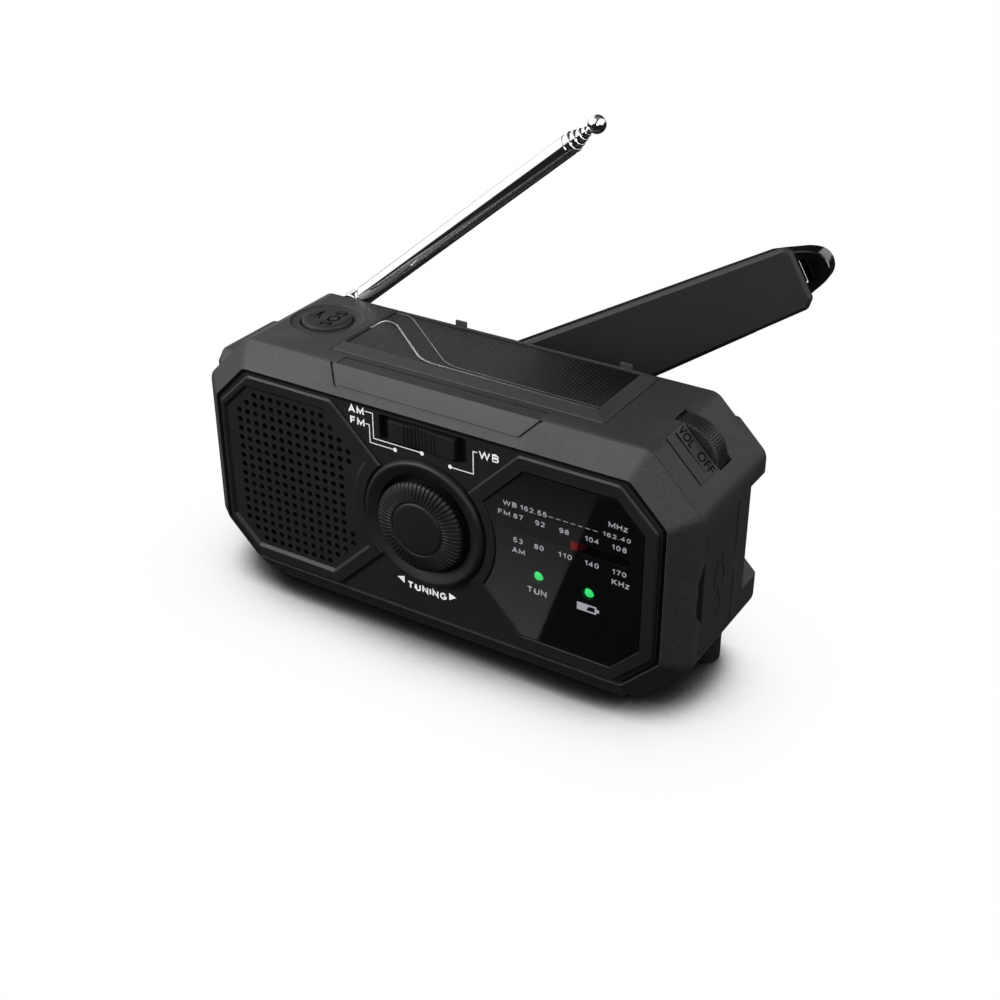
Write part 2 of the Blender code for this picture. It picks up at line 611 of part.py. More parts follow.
# ================================================================ generator
def gear(teeth, phase):
    """Outline with straight-sided teeth, the first one centred on the phase angle."""
    tip_radius = GEAR_MODULE * (teeth / 2 + ADDENDUM)
    root_radius = GEAR_MODULE * (teeth / 2 - DEDENDUM)
    pitch = 360 / teeth
    tip, root = TOOTH_SHARE * pitch * 0.30, TOOTH_SHARE * pitch * 0.80     # half angles
    points = []
    for k in range(teeth):
        for radius, offset in ((root_radius, -root), (tip_radius, -tip),
                               (tip_radius, tip), (root_radius, root)):
            angle = math.radians(phase + k * pitch + offset)
            points.append((radius * math.cos(angle), radius * math.sin(angle)))
    return points


GEAR_GAP = GEAR_MODULE * (CRANK_TEETH + PINION_TEETH) / 2
DYNAMO_X = HUB_X + GEAR_GAP * math.cos(math.radians(DYNAMO_ANGLE))
DYNAMO_Z = HUB_Z + GEAR_GAP * math.sin(math.radians(DYNAMO_ANGLE))
DYNAMO_AXIS = along_y((DYNAMO_X, 0, DYNAMO_Z))
# a crank tooth points at the dynamo, and a pinion gap faces it
pinion_phase = DYNAMO_ANGLE + 180 + 180 / PINION_TEETH
slab("crank_gear", [gear(CRANK_TEETH, DYNAMO_ANGLE), arc(0, 0, 3.3, 0, 345, 15)],
     GEAR_FRONT_Y, GEAR_BACK_Y, "nylon", at=(HUB_X, HUB_Z))
pinion = slab("dynamo_pinion", [gear(PINION_TEETH, pinion_phase)],
              GEAR_FRONT_Y, GEAR_BACK_Y, "brass", at=(DYNAMO_X, DYNAMO_Z))
join(pinion, rod("dynamo_shaft", 1.0, 26.45, 30.1, DYNAMO_AXIS, "brass", seg=10))
rod("dynamo", 9.4, 17.0, 26.2, DYNAMO_AXIS, "steel", seg=24)

# ================================================================ crank
HINGE_DIR = Vector((math.cos(CRANK_ANGLE), 0, math.sin(CRANK_ANGLE)))      # hub to hinge
ARM_DIR = HINGE_DIR * math.cos(CRANK_SPLAY) + Y * math.sin(CRANK_SPLAY)
PIN_DIR = Vector((math.sin(CRANK_ANGLE), 0, -math.cos(CRANK_ANGLE)))       # along the hinge pin
HINGE = (HUB_X + HINGE_R * HINGE_DIR.x, HINGE_Y, HUB_Z + HINGE_R * HINGE_DIR.z)
# local x runs towards the hinge or along the arm, local y along the pin, local z backwards
HUB_FRAME = frame(HINGE_DIR, PIN_DIR, HINGE_DIR.cross(PIN_DIR), (HUB_X, 0, HUB_Z))
ARM_FRAME = frame(ARM_DIR, PIN_DIR, ARM_DIR.cross(PIN_DIR), HINGE)
GRIP_AT = (GRIP_ALONG, 0, GRIP_HEIGHT)
HUB_PIN = quarter_turn(HUB_FRAME, "X", (HINGE_R, 0, HINGE_Y))
ARM_PIN = quarter_turn(ARM_FRAME, "X")
GRIP_PIN = quarter_turn(ARM_FRAME, "X", GRIP_AT)
BARREL = quarter_turn(ARM_FRAME, "Y", GRIP_AT)      # local z runs back along the arm


def crank_hub():
    """Disc with axle and spindle in front and two hinge lugs behind."""
    hub = rod("crank_hub", HUB_R, 33.6, 36.7, HUB_FRAME, "gloss", seg=40)
    additions = [rod("axle", 4.4, 30.0, 34.0, HUB_FRAME, "gloss"),
                 rod("spindle", 3.0, 25.4, 30.5, HUB_FRAME, "gloss", seg=14)]
    for low, high in ((-10.4, -6.5), (6.5, 10.4)):
        additions += [box("lug", (HINGE_R - EYE_R, low, 36.0), (HINGE_R + EYE_R, high, HINGE_Y),
                          "gloss", HUB_FRAME),
                      rod("eye", EYE_R, low, high, HUB_PIN, "gloss")]
    join(hub, *additions)
    carve(hub, rod("pin_bore", PIN_BORE_R, -12, 12, HUB_PIN, seg=16))


def arm_outline(inset, start, tip):
    base = ARM_HALF_W - inset
    end = ARM_HALF_W - (TAPER_END - TAPER_START) * TAPER - inset
    nose = tip - inset
    return mirrored([(start, -base), (TAPER_START, -base), (TAPER_END, -end),
                     (111.0, -end + 1.2), (nose - 2.2, -end + 5.0), (nose, -1.6)])


def crank_arm():
    """Open frame with a hinge knuckle, and the plate closing its front."""
    arm = flat("crank_arm", [arm_outline(0, 5.0, ARM_TIP), arm_outline(2.6, 9.5, ARM_TIP)],
               2.1, 10.0, ARM_FRAME, "gloss")
    join(arm,
         rod("knuckle", 3.6, -6.1, 6.1, ARM_PIN, "gloss"),
         box("web", (0.0, -6.1, -2.6), (6.0, 6.1, 3.6), "gloss", ARM_FRAME))
    carve(arm, rod("arm_bore", PIN_BORE_R, -12, 12, ARM_PIN, seg=16))
    plate = mirrored([(6.4, -ARM_HALF_W), (TAPER_START, -ARM_HALF_W), (108.4, -9.2),
                      (111.4, -6.2)])
    flat("crank_cover", [rounded(plate, 0.8, 1)], 0.0, 1.8, ARM_FRAME, "case")


def crank_grip():
    stem = rod("grip_stem", 3.8, -5.4, 5.4, GRIP_PIN, "gloss", seg=18)
    join(stem,
         rod("stem_rod", 1.7, 2.0, 47.0, BARREL, "gloss", seg=12),
         rod("stem_head", 2.9, 46.6, 48.0, BARREL, "gloss", seg=14))
    carve(stem, rod("stem_bore", 1.5, -8, 8, GRIP_PIN, seg=14))
    rod("grip_pin", 1.2, -6.3, 6.3, GRIP_PIN, "steel", seg=12)
    turned("crank_grip", [(2.0, 4.3), (3.3, 4.3), (3.7, 8.0), (3.4, 14.0), (3.85, 28.0),
                          (3.7, 42.0), (3.2, 46.2), (2.0, 46.2)], BARREL, "panel", 20)


crank_hub()
rod("hinge_pin", 1.5, -10.4, 10.4, HUB_PIN, "steel", seg=14)
turned("hub_bushing", [(4.75, 30.0), (6.6, 30.0), (6.6, 33.3), (4.75, 33.3)],
       HUB_AXIS, "brass", 20)
crank_arm()
crank_grip()

# ================================================================ antenna
antenna_dir = Vector((math.cos(ANTENNA_ANGLE), 0, math.sin(ANTENNA_ANGLE)))
ANTENNA_FRAME = frame(Y, antenna_dir.cross(Y), antenna_dir, (ANTENNA_X, ANTENNA_Y, ANTENNA_Z))

stud = rod("antenna_stud", 2.0, 42.0, 51.6, ANTENNA_PIVOT, "steel", seg=12)
join(stud, rod("stud_head", 3.2, 51.3, 52.3, ANTENNA_PIVOT, "steel", seg=14))
knuckle = rod("antenna_knuckle", 3.6, 45.5, 50.9, ANTENNA_PIVOT, "chrome", seg=18)
join(knuckle, rod("knuckle_neck", 2.3, 2.0, 9.0, ANTENNA_FRAME, "chrome", seg=14))
carve(knuckle, rod("knuckle_bore", 2.25, 40, 60, ANTENNA_PIVOT, seg=14))

for number, (outer, start, beyond) in enumerate(TUBES, 1):
    inner, end = outer - TUBE_WALL, TUBE_END + beyond
    turned("antenna_tube_%d" % number,
           [(outer, start), (outer, end), (inner, end), (inner, start)],
           ANTENNA_FRAME, "chrome", 16)

ball = [(BALL_R * math.cos(math.radians(a)), BALL_ALONG + BALL_R * math.sin(math.radians(a)))
        for a in (-50, -20, 10, 40, 65)]
turned("antenna_tip", [(0, 15.0), (0.95, 15.0), (0.95, BALL_ALONG - 2.2)] + ball
       + [(0, BALL_ALONG + BALL_R)], ANTENNA_FRAME, "chrome", 16)

# ================================================================ feet
box("front_foot", (-60.0, 8.0, -CASE_Z), (60.0, 15.0, -38.7), "rubber", bevel=0.5)
for side, foot_x in (("left", -70.0), ("right", 70.0)):
    foot = rod("rear_foot_" + side, 4.3, -CASE_Z, -30.0, along_z((foot_x, 38.5, 0)), "rubber")
    carve(foot, slab("foot_trim", [octagon(-0.3)], 0, 60))

# ================================================================ origins on the joint axes
ORIGINS = {
    "dial_pointer": (POINTER_X, 0, POINTER_Z),
    "band_switch_slider": (SWITCH_X, 0, SWITCH_Z),
    "sos_button": (SOS_X, SOS_Y, 38.4),
    "volume_wheel": (WHEEL_X, WHEEL_Y, WHEEL_Z),
    "port_cover": (COVER_X1, 29.6, (COVER[1] + COVER[3]) / 2),
    "battery_door": ((DOOR[0] + DOOR[2]) / 2, DOOR[3], DOOR_Z),
    "crank_hub": (HUB_X, 36.0, HUB_Z),
    "crank_gear": (HUB_X, 28.0, HUB_Z),
    "dynamo_pinion": (DYNAMO_X, 28.0, DYNAMO_Z),
}
for name, at in ORIGINS.items():
    set_origin(bpy.data.objects[name], at)
bpy.context.view_layer.update()
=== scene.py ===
"""Hand-crank emergency radio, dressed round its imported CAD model.

The radio stands on its feet on z = 0 with its width along X: loudspeaker face towards -Y,
torch on the -X end, socket cover on the +X end, solar panel on top, crank on the back (+Y).

Shapes are drawn in millimetres from the case's own middle: x from the middle, y from the
loudspeaker face, z from mid height.  at() turns such a point into the row frame, in metres.
"""
import bpy
import bmesh
import json
import math
from mathutils import Vector, Matrix, geometry

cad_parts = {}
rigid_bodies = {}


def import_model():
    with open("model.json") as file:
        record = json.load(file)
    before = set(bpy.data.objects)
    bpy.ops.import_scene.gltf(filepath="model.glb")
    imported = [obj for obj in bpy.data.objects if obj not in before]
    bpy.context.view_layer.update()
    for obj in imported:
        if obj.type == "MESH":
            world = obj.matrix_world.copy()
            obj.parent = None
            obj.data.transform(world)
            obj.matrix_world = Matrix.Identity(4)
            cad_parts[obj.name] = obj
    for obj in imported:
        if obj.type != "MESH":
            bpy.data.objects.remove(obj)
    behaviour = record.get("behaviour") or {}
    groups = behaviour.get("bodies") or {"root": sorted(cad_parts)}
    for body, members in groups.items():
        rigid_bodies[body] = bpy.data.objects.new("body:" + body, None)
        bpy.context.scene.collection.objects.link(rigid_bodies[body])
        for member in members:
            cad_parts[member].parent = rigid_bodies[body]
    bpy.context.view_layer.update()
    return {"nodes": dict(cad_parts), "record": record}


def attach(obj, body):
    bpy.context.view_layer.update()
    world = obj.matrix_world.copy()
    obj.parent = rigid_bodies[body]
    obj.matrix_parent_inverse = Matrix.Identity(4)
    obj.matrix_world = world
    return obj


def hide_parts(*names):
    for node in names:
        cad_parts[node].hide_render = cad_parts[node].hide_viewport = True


for old_object in list(bpy.data.objects):
    bpy.data.objects.remove(old_object, do_unlink=True)
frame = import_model()

MM = 0.001
FACE_Y, MIDDLE_Z = -12.0, 42.0       # the case's own zero, in the row frame (mm)
X, Y, Z = Vector((1, 0, 0)), Vector((0, 1, 0)), Vector((0, 0, 1))


# ================================================================ local frames
def at(x, y, z):
    return Vector((x, y + FACE_Y, z + MIDDLE_Z)) * MM


def basis(u, v, w, origin=(0, 0, 0)):
    """Frame whose local x, y, z run along u, v, w."""
    return Matrix.Translation(at(*origin)) @ Matrix((u, v, w)).transposed().to_4x4()


def front(x, z):
    return basis(X, Z, -Y, (x, 0, z))


def along_y(x, z):
    return basis(Z, X, Y, (x, 0, z))


def shift(x, y, z):
    return Matrix.Translation(Vector((x, y, z)) * MM)


CASE = basis(X, Y, Z)
FRONT = basis(X, Z, -Y)              # local z comes out of the face
SIDE = basis(Y, Z, X)                # local z runs towards the socket end


# ================================================================ shader helpers
def new_tree(owner):
    owner.use_nodes = True
    owner.node_tree.nodes.clear()
    return owner.node_tree


def add_node(tree, kind, inputs=None, **settings):
    """New shader node; an input is given either a value or a socket to link from."""
    node = tree.nodes.new("ShaderNode" + kind)
    for key, value in settings.items():
        setattr(node, key, value)
    for key, value in (inputs or {}).items():
        if isinstance(value, bpy.types.NodeSocket):
            tree.links.new(value, node.inputs[key])
        else:
            node.inputs[key].default_value = value
    return node


def send(tree, shader, kind="OutputMaterial"):
    add_node(tree, kind, {0: shader.outputs[0]})


def new_material(name):
    """Empty material, its tree and its object coordinates."""
    material = bpy.data.materials.new(name)
    tree = new_tree(material)
    return material, tree, add_node(tree, "TexCoord").outputs["Object"]


def noise(tree, coords, scale, detail, roughness=0.5):
    return add_node(tree, "TexNoise", {"Vector": coords, "Scale": scale, "Detail": detail,
                                       "Roughness": roughness}).outputs["Fac"]


def remap(tree, value, to_min=0.0, to_max=1.0, from_min=0.0, from_max=1.0, **settings):
    return add_node(tree, "MapRange", {
        "Value": value, "From Min": from_min, "From Max": from_max,
        "To Min": to_min, "To Max": to_max}, **settings).outputs["Result"]


def tones(tree, value, dark, light, stops=(0.0, 1.0)):
    """Two-stop colour ramp."""
    ramp = add_node(tree, "ValToRGB", {"Fac": value})
    for i, color in enumerate((dark, light)):
        ramp.color_ramp.elements[i].position = stops[i]
        ramp.color_ramp.elements[i].color = (*color, 1)
    return ramp.outputs["Color"]


def mix_colors(tree, factor, a, b, blend="MIX"):
    return add_node(tree, "Mix", {"Factor": factor, "A": a, "B": b},
                    data_type="RGBA", blend_type=blend).outputs["Result"]


def calc(tree, operation, a, b, clamp=False):
    return add_node(tree, "Math", {0: a, 1: b}, operation=operation, use_clamp=clamp).outputs[0]


def scaled(color, factor):
    return [c * factor for c in color]


# ================================================================ kinds of material
def plastic(name, color, roughness, grain, grain_scale=2600.0, drift=0.12, wear=0.0,
            specular=0.5, coat=0.0, roughness_drift=0.06, sparkle=0.0, grain_detail=3.0):
    """Moulded plastic: grain in the bump, slow colour and roughness drift, paler worn edges."""
    material, tree, coords = new_material(name)
    slow = noise(tree, coords, scale=55.0, detail=5.0)
    fine = noise(tree, coords, scale=grain_scale, detail=grain_detail, roughness=0.55)
    shade = tones(tree, slow, scaled(color, 1.0 - drift), scaled(color, 1.0 + drift),
                  stops=(0.3, 0.7))
    if sparkle:
        flecks = remap(tree, fine, from_min=0.36, from_max=0.64,
                       to_min=1.0 - sparkle, to_max=1.0 + sparkle)
        shade = mix_colors(tree, 1.0, shade, flecks, blend="MULTIPLY")
    if wear:
        pointiness = add_node(tree, "NewGeometry").outputs["Pointiness"]
        edge = remap(tree, pointiness, from_min=0.51, from_max=0.60, to_min=0.0, to_max=wear)
        worn = (*[min(1.0, c * 2.6 + 0.02) for c in color], 1)
        shade = mix_colors(tree, edge, shade, worn)
    bump = add_node(tree, "Bump", {"Strength": grain, "Distance": 0.00006, "Height": fine})
    send(tree, add_node(tree, "BsdfPrincipled", {
        "Base Color": shade,
        "Roughness": remap(tree, slow, to_min=max(0.02, roughness - roughness_drift),
                           to_max=min(1.0, roughness + roughness_drift)),
        "Specular IOR Level": specular,
        "Coat Weight": coat,
        "Coat Roughness": 0.06,
        "Normal": bump.outputs["Normal"]}))
    return material


def brushed(name, color, roughness, scale=(900.0, 900.0, 40.0), spread=0.15):
    """Metal with streaks stretched by scale; spread is the share roughness varies by."""
    material, tree, coords = new_material(name)
    mapping = add_node(tree, "Mapping", {"Vector": coords, "Scale": scale})
    streaks = noise(tree, mapping.outputs["Vector"], scale=1.0, detail=4.0)
    send(tree, add_node(tree, "BsdfPrincipled", {
        "Base Color": tones(tree, streaks, scaled(color, 0.93), color),
        "Roughness": remap(tree, streaks, to_min=roughness * (1 - spread),
                           to_max=roughness * (1 + spread)),
        "Metallic": 1.0}))
    return material


def ink(name, color, roughness, glow=0.0):
    material, tree, coords = new_material(name)
    speckle = noise(tree, coords, scale=3500.0, detail=2.0)
    shade = tones(tree, speckle, scaled(color, 0.86), color)
    inputs = {"Base Color": shade, "Roughness": roughness}
    # glow makes the part give off light of its own; on the printing this is painted light
    if glow:
        inputs.update({"Emission Color": shade, "Emission Strength": glow})
    send(tree, add_node(tree, "BsdfPrincipled", inputs))
    return material


def clear(name, tint, roughness):
    """Thin clear moulding: see-through straight on, mirror-like at a grazing angle, faint haze."""
    material, tree, coords = new_material(name)
    haze = noise(tree, coords, scale=120.0, detail=6.0)
    glass = add_node(tree, "BsdfTransparent", {"Color": (*tint, 1)})
    gloss = add_node(tree, "BsdfGlossy", {"Roughness": remap(
        tree, haze, to_min=roughness * 0.5, to_max=roughness * 1.8)})
    fresnel = add_node(tree, "Fresnel", {"IOR": 1.49}).outputs["Fac"]
    # only outward faces reflect, stronger than bare plastic would
    backfacing = add_node(tree, "NewGeometry").outputs["Backfacing"]
    outward = calc(tree, "SUBTRACT", 1.0, backfacing)
    mirror = calc(tree, "MULTIPLY", fresnel, outward)
    mirror = calc(tree, "MULTIPLY", mirror, 2.2, clamp=True)
    send(tree, add_node(tree, "MixShader", {
        "Fac": mirror, 1: glass.outputs[0], 2: gloss.outputs[0]}))
    return material


def paint_occlusion_shade(material):
    """Painted shade: multiply the base colour by ambient occlusion, so it darkens where other parts
    crowd close.
    """
    tree = material.node_tree
    bsdf = next(node for node in tree.nodes if node.type == "BSDF_PRINCIPLED")
    shade = bsdf.inputs["Base Color"].links[0].from_socket
    occlusion = add_node(tree, "AmbientOcclusion", {"Distance": 0.09}, samples=8)
    openness = remap(tree, occlusion.outputs["AO"], from_min=0.55, from_max=1.0,
                     to_min=0.05, to_max=1.0)
    tree.links.new(mix_colors(tree, 1.0, shade, openness, blend="MULTIPLY"),
                   bsdf.inputs["Base Color"])


# ================================================================ the materials
CASE_M = plastic("case_plastic", color=(0.030, 0.030, 0.0308), roughness=0.58, grain=0.75,
                 grain_scale=1900.0, drift=0.05, wear=0.30, sparkle=0.34, grain_detail=2.0)
PANEL_M = plastic("panel_plastic", color=(0.0100, 0.0100, 0.0104), roughness=0.52, grain=0.22,
                  grain_scale=3000.0, drift=0.06, wear=0.06, specular=0.40, sparkle=0.10)
KNOB_M = plastic("knob_plastic", color=(0.0052, 0.0052, 0.0054), roughness=0.56, grain=0.10,
                 grain_scale=3000.0, drift=0.08, wear=0.10, specular=0.45)
WHEEL_M = plastic("wheel_plastic", color=(0.020, 0.020, 0.0205), roughness=0.50, grain=0.15,
                  grain_scale=3000.0, drift=0.08, wear=0.35)
GRIP_M = plastic("grip_plastic", color=(0.012, 0.012, 0.0125), roughness=0.50, grain=0.5,
                 drift=0.08, wear=0.15)
COVER_M = plastic("cover_plastic", color=(0.0130, 0.0130, 0.0134), roughness=0.60, grain=0.35,
                  grain_scale=2300.0, drift=0.06, wear=0.30, sparkle=0.14)
CAP_M = plastic("cap_plastic", color=(0.0080, 0.0080, 0.0083), roughness=0.60, grain=0.35,
                grain_scale=2400.0, drift=0.06, wear=0.2, sparkle=0.12)
GLOSS_M = plastic("gloss_plastic", color=(0.004, 0.004, 0.0043), roughness=0.14, grain=0.02,
                  grain_scale=300.0, drift=0.1, coat=0.5, roughness_drift=0.03)
PLATE_M = plastic("dial_black", color=(0.0065, 0.0065, 0.0068), roughness=0.40, grain=0.02,
                  grain_scale=900.0, drift=0.1, specular=0.3)
RUBBER_M = plastic("rubber_black", color=(0.0190, 0.0190, 0.0195), roughness=0.72, grain=0.5,
                   grain_scale=1700.0, drift=0.08, wear=0.15, specular=0.35)
FOOT_M = plastic("rubber_foot", color=(0.010, 0.010, 0.010), roughness=0.85, grain=0.8,
                 grain_scale=900.0, drift=0.15, specular=0.25)
SOLAR_M = plastic("solar_face", color=(0.0035, 0.0036, 0.0042), roughness=0.30, grain=0.02,
                  grain_scale=500.0, drift=0.15, specular=0.55)
CHROME_M = brushed("chrome_plate", color=(0.90, 0.90, 0.91), roughness=0.045,
                   scale=(60.0, 60.0, 60.0))
STEEL_M = brushed("plain_steel", color=(0.52, 0.52, 0.54), roughness=0.32)
BRASS_M = brushed("turned_brass", color=(0.74, 0.54, 0.24), roughness=0.28)
COPPER_M = brushed("enamelled_copper", color=(0.72, 0.30, 0.13), roughness=0.3,
                   scale=(40.0, 4000.0, 40.0), spread=0.5)
BUS_M = brushed("silver_trace", color=(0.72, 0.72, 0.74), roughness=0.35)
MIRROR_M = brushed("metallised_reflector", color=(0.88, 0.88, 0.90), roughness=0.08)
# the speaker basket is drawn near-black instead of bare steel: painted shade, so the inside of the
# case reads dark through the grille holes
BASKET_SHADE_M = plastic("basket_painted_shade", color=(0.004, 0.004, 0.004), roughness=0.55, grain=0.1,
                    grain_scale=1500.0, drift=0.1, specular=0.2)
# both printing inks glow: painted light that makes the print read brighter than the lamps make it;
# the white one is also used on the torch chips
WHITE_M = ink("white_print", color=(0.80, 0.80, 0.80), roughness=0.6, glow=0.55)
DIAL_INK_M = ink("dial_print", color=(0.68, 0.69, 0.71), roughness=0.6, glow=0.60)
RED_M = plastic("red_pointer", color=(0.62, 0.010, 0.008), roughness=0.35, grain=0.05,
                grain_scale=800.0, drift=0.1)
GREEN_M = ink("green_lamp", color=(0.05, 0.85, 0.18), roughness=0.2, glow=1.3)
PHOSPHOR_M = ink("torch_phosphor", color=(0.85, 0.72, 0.22), roughness=0.45)
CLEAR_M = clear("smoked_window", tint=(0.80, 0.80, 0.82), roughness=0.02)
LENS_M = clear("torch_lens_clear", tint=(0.93, 0.94, 0.95), roughness=0.06)
NYLON_M = plastic("nylon_white", color=(0.60, 0.58, 0.53), roughness=0.48, grain=0.15,
                  grain_scale=1200.0, drift=0.05)
BOARD_M = plastic("board_green", color=(0.015, 0.10, 0.035), roughness=0.42, grain=0.25,
                  grain_scale=700.0, drift=0.3)
# darkened to near-black: painted shade for the inside of the case seen through the grille holes
PAPER_M = plastic("pressed_paper", color=(0.006, 0.006, 0.006), roughness=0.90, grain=0.8,
                  grain_scale=1600.0, drift=0.2, specular=0.1)
FERRITE_M = plastic("sintered_ferrite", color=(0.035, 0.033, 0.032), roughness=0.62, grain=0.5,
                    grain_scale=1800.0, drift=0.2)
CELL_M = plastic("cell_wrap", color=(0.03, 0.09, 0.26), roughness=0.30, grain=0.05,
                 grain_scale=200.0)
# near-black pieces set into engraved grooves and behind the dial slot: painted shade
DARK_M = plastic("engraving_shadow", color=(0.002, 0.002, 0.002), roughness=0.8, grain=0.1,
                 grain_scale=2000.0, drift=0.1, specular=0.05)
# painted shade on the crank cover: its colour darkens near the radio body
paint_occlusion_shade(COVER_M)

BY_SLOT = {"case": CASE_M, "panel": PANEL_M, "gloss": GLOSS_M, "clear": CLEAR_M,
           "rubber": RUBBER_M, "chrome": CHROME_M, "steel": STEEL_M, "brass": BRASS_M,
           "solar": SOLAR_M, "red": RED_M, "green": GREEN_M, "board": BOARD_M,
           "paper": PAPER_M, "copper": COPPER_M, "battery": CELL_M, "ferrite": FERRITE_M,
           "nylon": NYLON_M, "mirror": MIRROR_M}
SLOT_OF = {part["node"]: part["material_slot"] for part in frame["record"]["subparts"]}
for node_name, cad_piece in frame["nodes"].items():
    # the speaker basket takes the near-black painted-shade material instead of its steel
    is_basket = node_name == "speaker_basket"
    cad_piece.data.materials.clear()
    cad_piece.data.materials.append(BASKET_SHADE_M if is_basket else BY_SLOT[SLOT_OF[node_name]])
    for face in cad_piece.data.polygons:
        face.material_index = 0


# ================================================================ placing and cutting
def shade_piece(piece):
    if piece["smooth"]:
        piece.data.shade_smooth()
        piece.data.set_sharp_from_angle(angle=math.radians(piece["smooth"]))


def make_object(name, mesh, matrix, smooth=32):
    """Object from a mesh in millimetres; smooth is the sharp-edge angle, 0 for flat faces."""
    mesh.transform(Matrix.Scale(MM, 4))
    mesh.transform(matrix)
    if matrix.determinant() < 0:
        mesh.flip_normals()
    piece = bpy.data.objects.new(name, mesh)
    bpy.context.scene.collection.objects.link(piece)
    piece["smooth"] = smooth
    shade_piece(piece)
    return piece


def put(name, mesh, matrix, material, slot, stands=None, body="case", smooth=32):
    """Visible piece riding on a body; stands names the CAD node it replaces."""
    mesh.name = name
    mesh.materials.append(material)
    piece = make_object(name, mesh, matrix, smooth)
    piece["body"], piece["slot"] = body, slot
    if stands:
        piece["stands"] = stands
    return piece


def combine(target, operation, tools):
    cutters = [make_object("tool", mesh, matrix) for mesh, matrix in tools]
    for cutter in cutters:
        modifier = target.modifiers.new("boolean", "BOOLEAN")
        modifier.operation = operation
        modifier.object = cutter
        modifier.solver = "EXACT"
    bpy.context.view_layer.update()
    depsgraph = bpy.context.evaluated_depsgraph_get()
    mesh = bpy.data.meshes.new_from_object(target.evaluated_get(depsgraph))
    old = target.data
    target.modifiers.clear()
    target.data = mesh
    bpy.data.meshes.remove(old)
    for cutter in cutters:
        bpy.data.objects.remove(cutter, do_unlink=True)
    while len(mesh.materials) > 1:
        mesh.materials.pop()
    for face in mesh.polygons:
        face.material_index = 0
    shade_piece(target)


def cut(target, *tools):
    """Subtract (mesh, matrix) pairs in one go."""
    combine(target, "DIFFERENCE", tools)


def weld(target, *tools):
    """Add (mesh, matrix) pairs in one go."""
    combine(target, "UNION", tools)


# ================================================================ solids
def close(bm):
    bmesh.ops.remove_doubles(bm, verts=bm.verts, dist=0.0004)
    bmesh.ops.recalc_face_normals(bm, faces=bm.faces)
    mesh = bpy.data.meshes.new("solid")
    bm.to_mesh(mesh)
    bm.free()
    return mesh


def bridge(bm, a, b):
    """Faces between two rings; a ring of one vertex gives a fan."""
    count = max(len(a), len(b))
    for k in range(count):
        j = (k + 1) % count
        quad = [a[k % len(a)], a[j % len(a)], b[j % len(b)], b[k % len(b)]]
        quad = [v for i, v in enumerate(quad) if v not in quad[:i]]
        if len(quad) > 2:
            bm.faces.new(quad)


def ccw(points):
    area2 = sum(p[0] * q[1] - q[0] * p[1] for p, q in zip(points, points[1:] + points[:1]))
    return points if area2 > 0 else points[::-1]


def inset(points, distance):
    """Move a counter-clockwise outline inwards, keeping its points."""
    if abs(distance) < 1e-9:
        return list(points)
    count, out = len(points), []
    for i in range(count):
        p, a, b = Vector(points[i]), Vector(points[i - 1]), Vector(points[(i + 1) % count])
        e, f = (p - a).normalized(), (b - p).normalized()
        miter = Vector((-e.y, e.x)) + Vector((-f.y, f.x))
        miter = miter / max(miter.length_squared / 2, 0.25)
        out.append(tuple(p + miter * distance))
    return out


def plate(outer, holes, levels):
    """Outline with holes through levels (height, inset[, hole inset]); both ends are closed."""
    outer = ccw(list(outer))
    holes = [ccw(list(hole)) for hole in holes]
    bm = bmesh.new()
    rings = []
    for height, shrink, *hole_shrink in levels:
        widen = hole_shrink[0] if hole_shrink else shrink
        loops = [inset(outer, shrink)] + [inset(hole, -widen) for hole in holes]
        rings.append([[bm.verts.new((x, y, height)) for x, y in loop] for loop in loops])
    for low, high in zip(rings, rings[1:]):
        for a, b in zip(low, high):
            bridge(bm, a, b)
    for ring in (rings[0], rings[-1]):
        if len(ring) == 1:
            bm.faces.new(ring[0])
            continue
        flat = [v for loop in ring for v in loop]
        for tri in geometry.tessellate_polygon([[v.co for v in loop] for loop in ring]):
            try:
                bm.faces.new([flat[i] for i in tri])
            except ValueError:  # the tessellation may repeat a triangle or a corner
                pass
    return close(bm)


def slab(outline, low, high):
    return plate(outline, [], [(low, 0), (high, 0)])


def turn(profile, segments=64):
    """Turned solid about local z from (radius, height) points."""
    bm = bmesh.new()
    rows = []
    for r, height in profile:
        if r < 1e-9:
            rows.append([bm.verts.new((0, 0, height))])
        else:
            rows.append([bm.verts.new((x, y, height)) for x, y in circle(0, 0, r, segments)])
    pairs = list(zip(rows, rows[1:]))
    if all(r > 1e-9 for r, _ in profile):
        pairs.append((rows[-1], rows[0]))
    for a, b in pairs:
        bridge(bm, a, b)
    return close(bm)


def cylinder(radius, low, high, segments, chamfer=0.0):
    if not chamfer:
        return turn([(0, low), (radius, low), (radius, high), (0, high)], segments)
    return turn([(0, low), (radius - chamfer, low), (radius, low + chamfer),
                 (radius, high - chamfer), (radius - chamfer, high), (0, high)], segments)


def block(low, high, bevel=0.0, segments=2):
    bm = bmesh.new()
    bmesh.ops.create_cube(bm, size=1.0)
    bmesh.ops.scale(bm, verts=bm.verts, vec=[b - a for a, b in zip(low, high)])
    bmesh.ops.translate(bm, verts=bm.verts, vec=[(a + b) / 2 for a, b in zip(low, high)])
    if bevel:
        bmesh.ops.bevel(bm, geom=list(bm.edges), offset=bevel, segments=segments,
                        affect="EDGES", profile=0.5)
    return close(bm)


def loft(rings, closed=True):
    """Skin over rings of points: joined end to end, or capped at both ends."""
    bm = bmesh.new()
    rows = [[bm.verts.new(point) for point in ring] for ring in rings]
    for a, b in list(zip(rows, rows[1:])) + ([(rows[-1], rows[0])] if closed else []):
        bridge(bm, a, b)
    if not closed:
        bm.faces.new(rows[0])
        bm.faces.new(rows[-1])
    return close(bm)


def merge(*meshes):
    bm = bmesh.new()
    for part in meshes:
        bm.from_mesh(part)
        bpy.data.meshes.remove(part)
    mesh = bpy.data.meshes.new("merged")
    bm.to_mesh(mesh)
    bm.free()
    return mesh


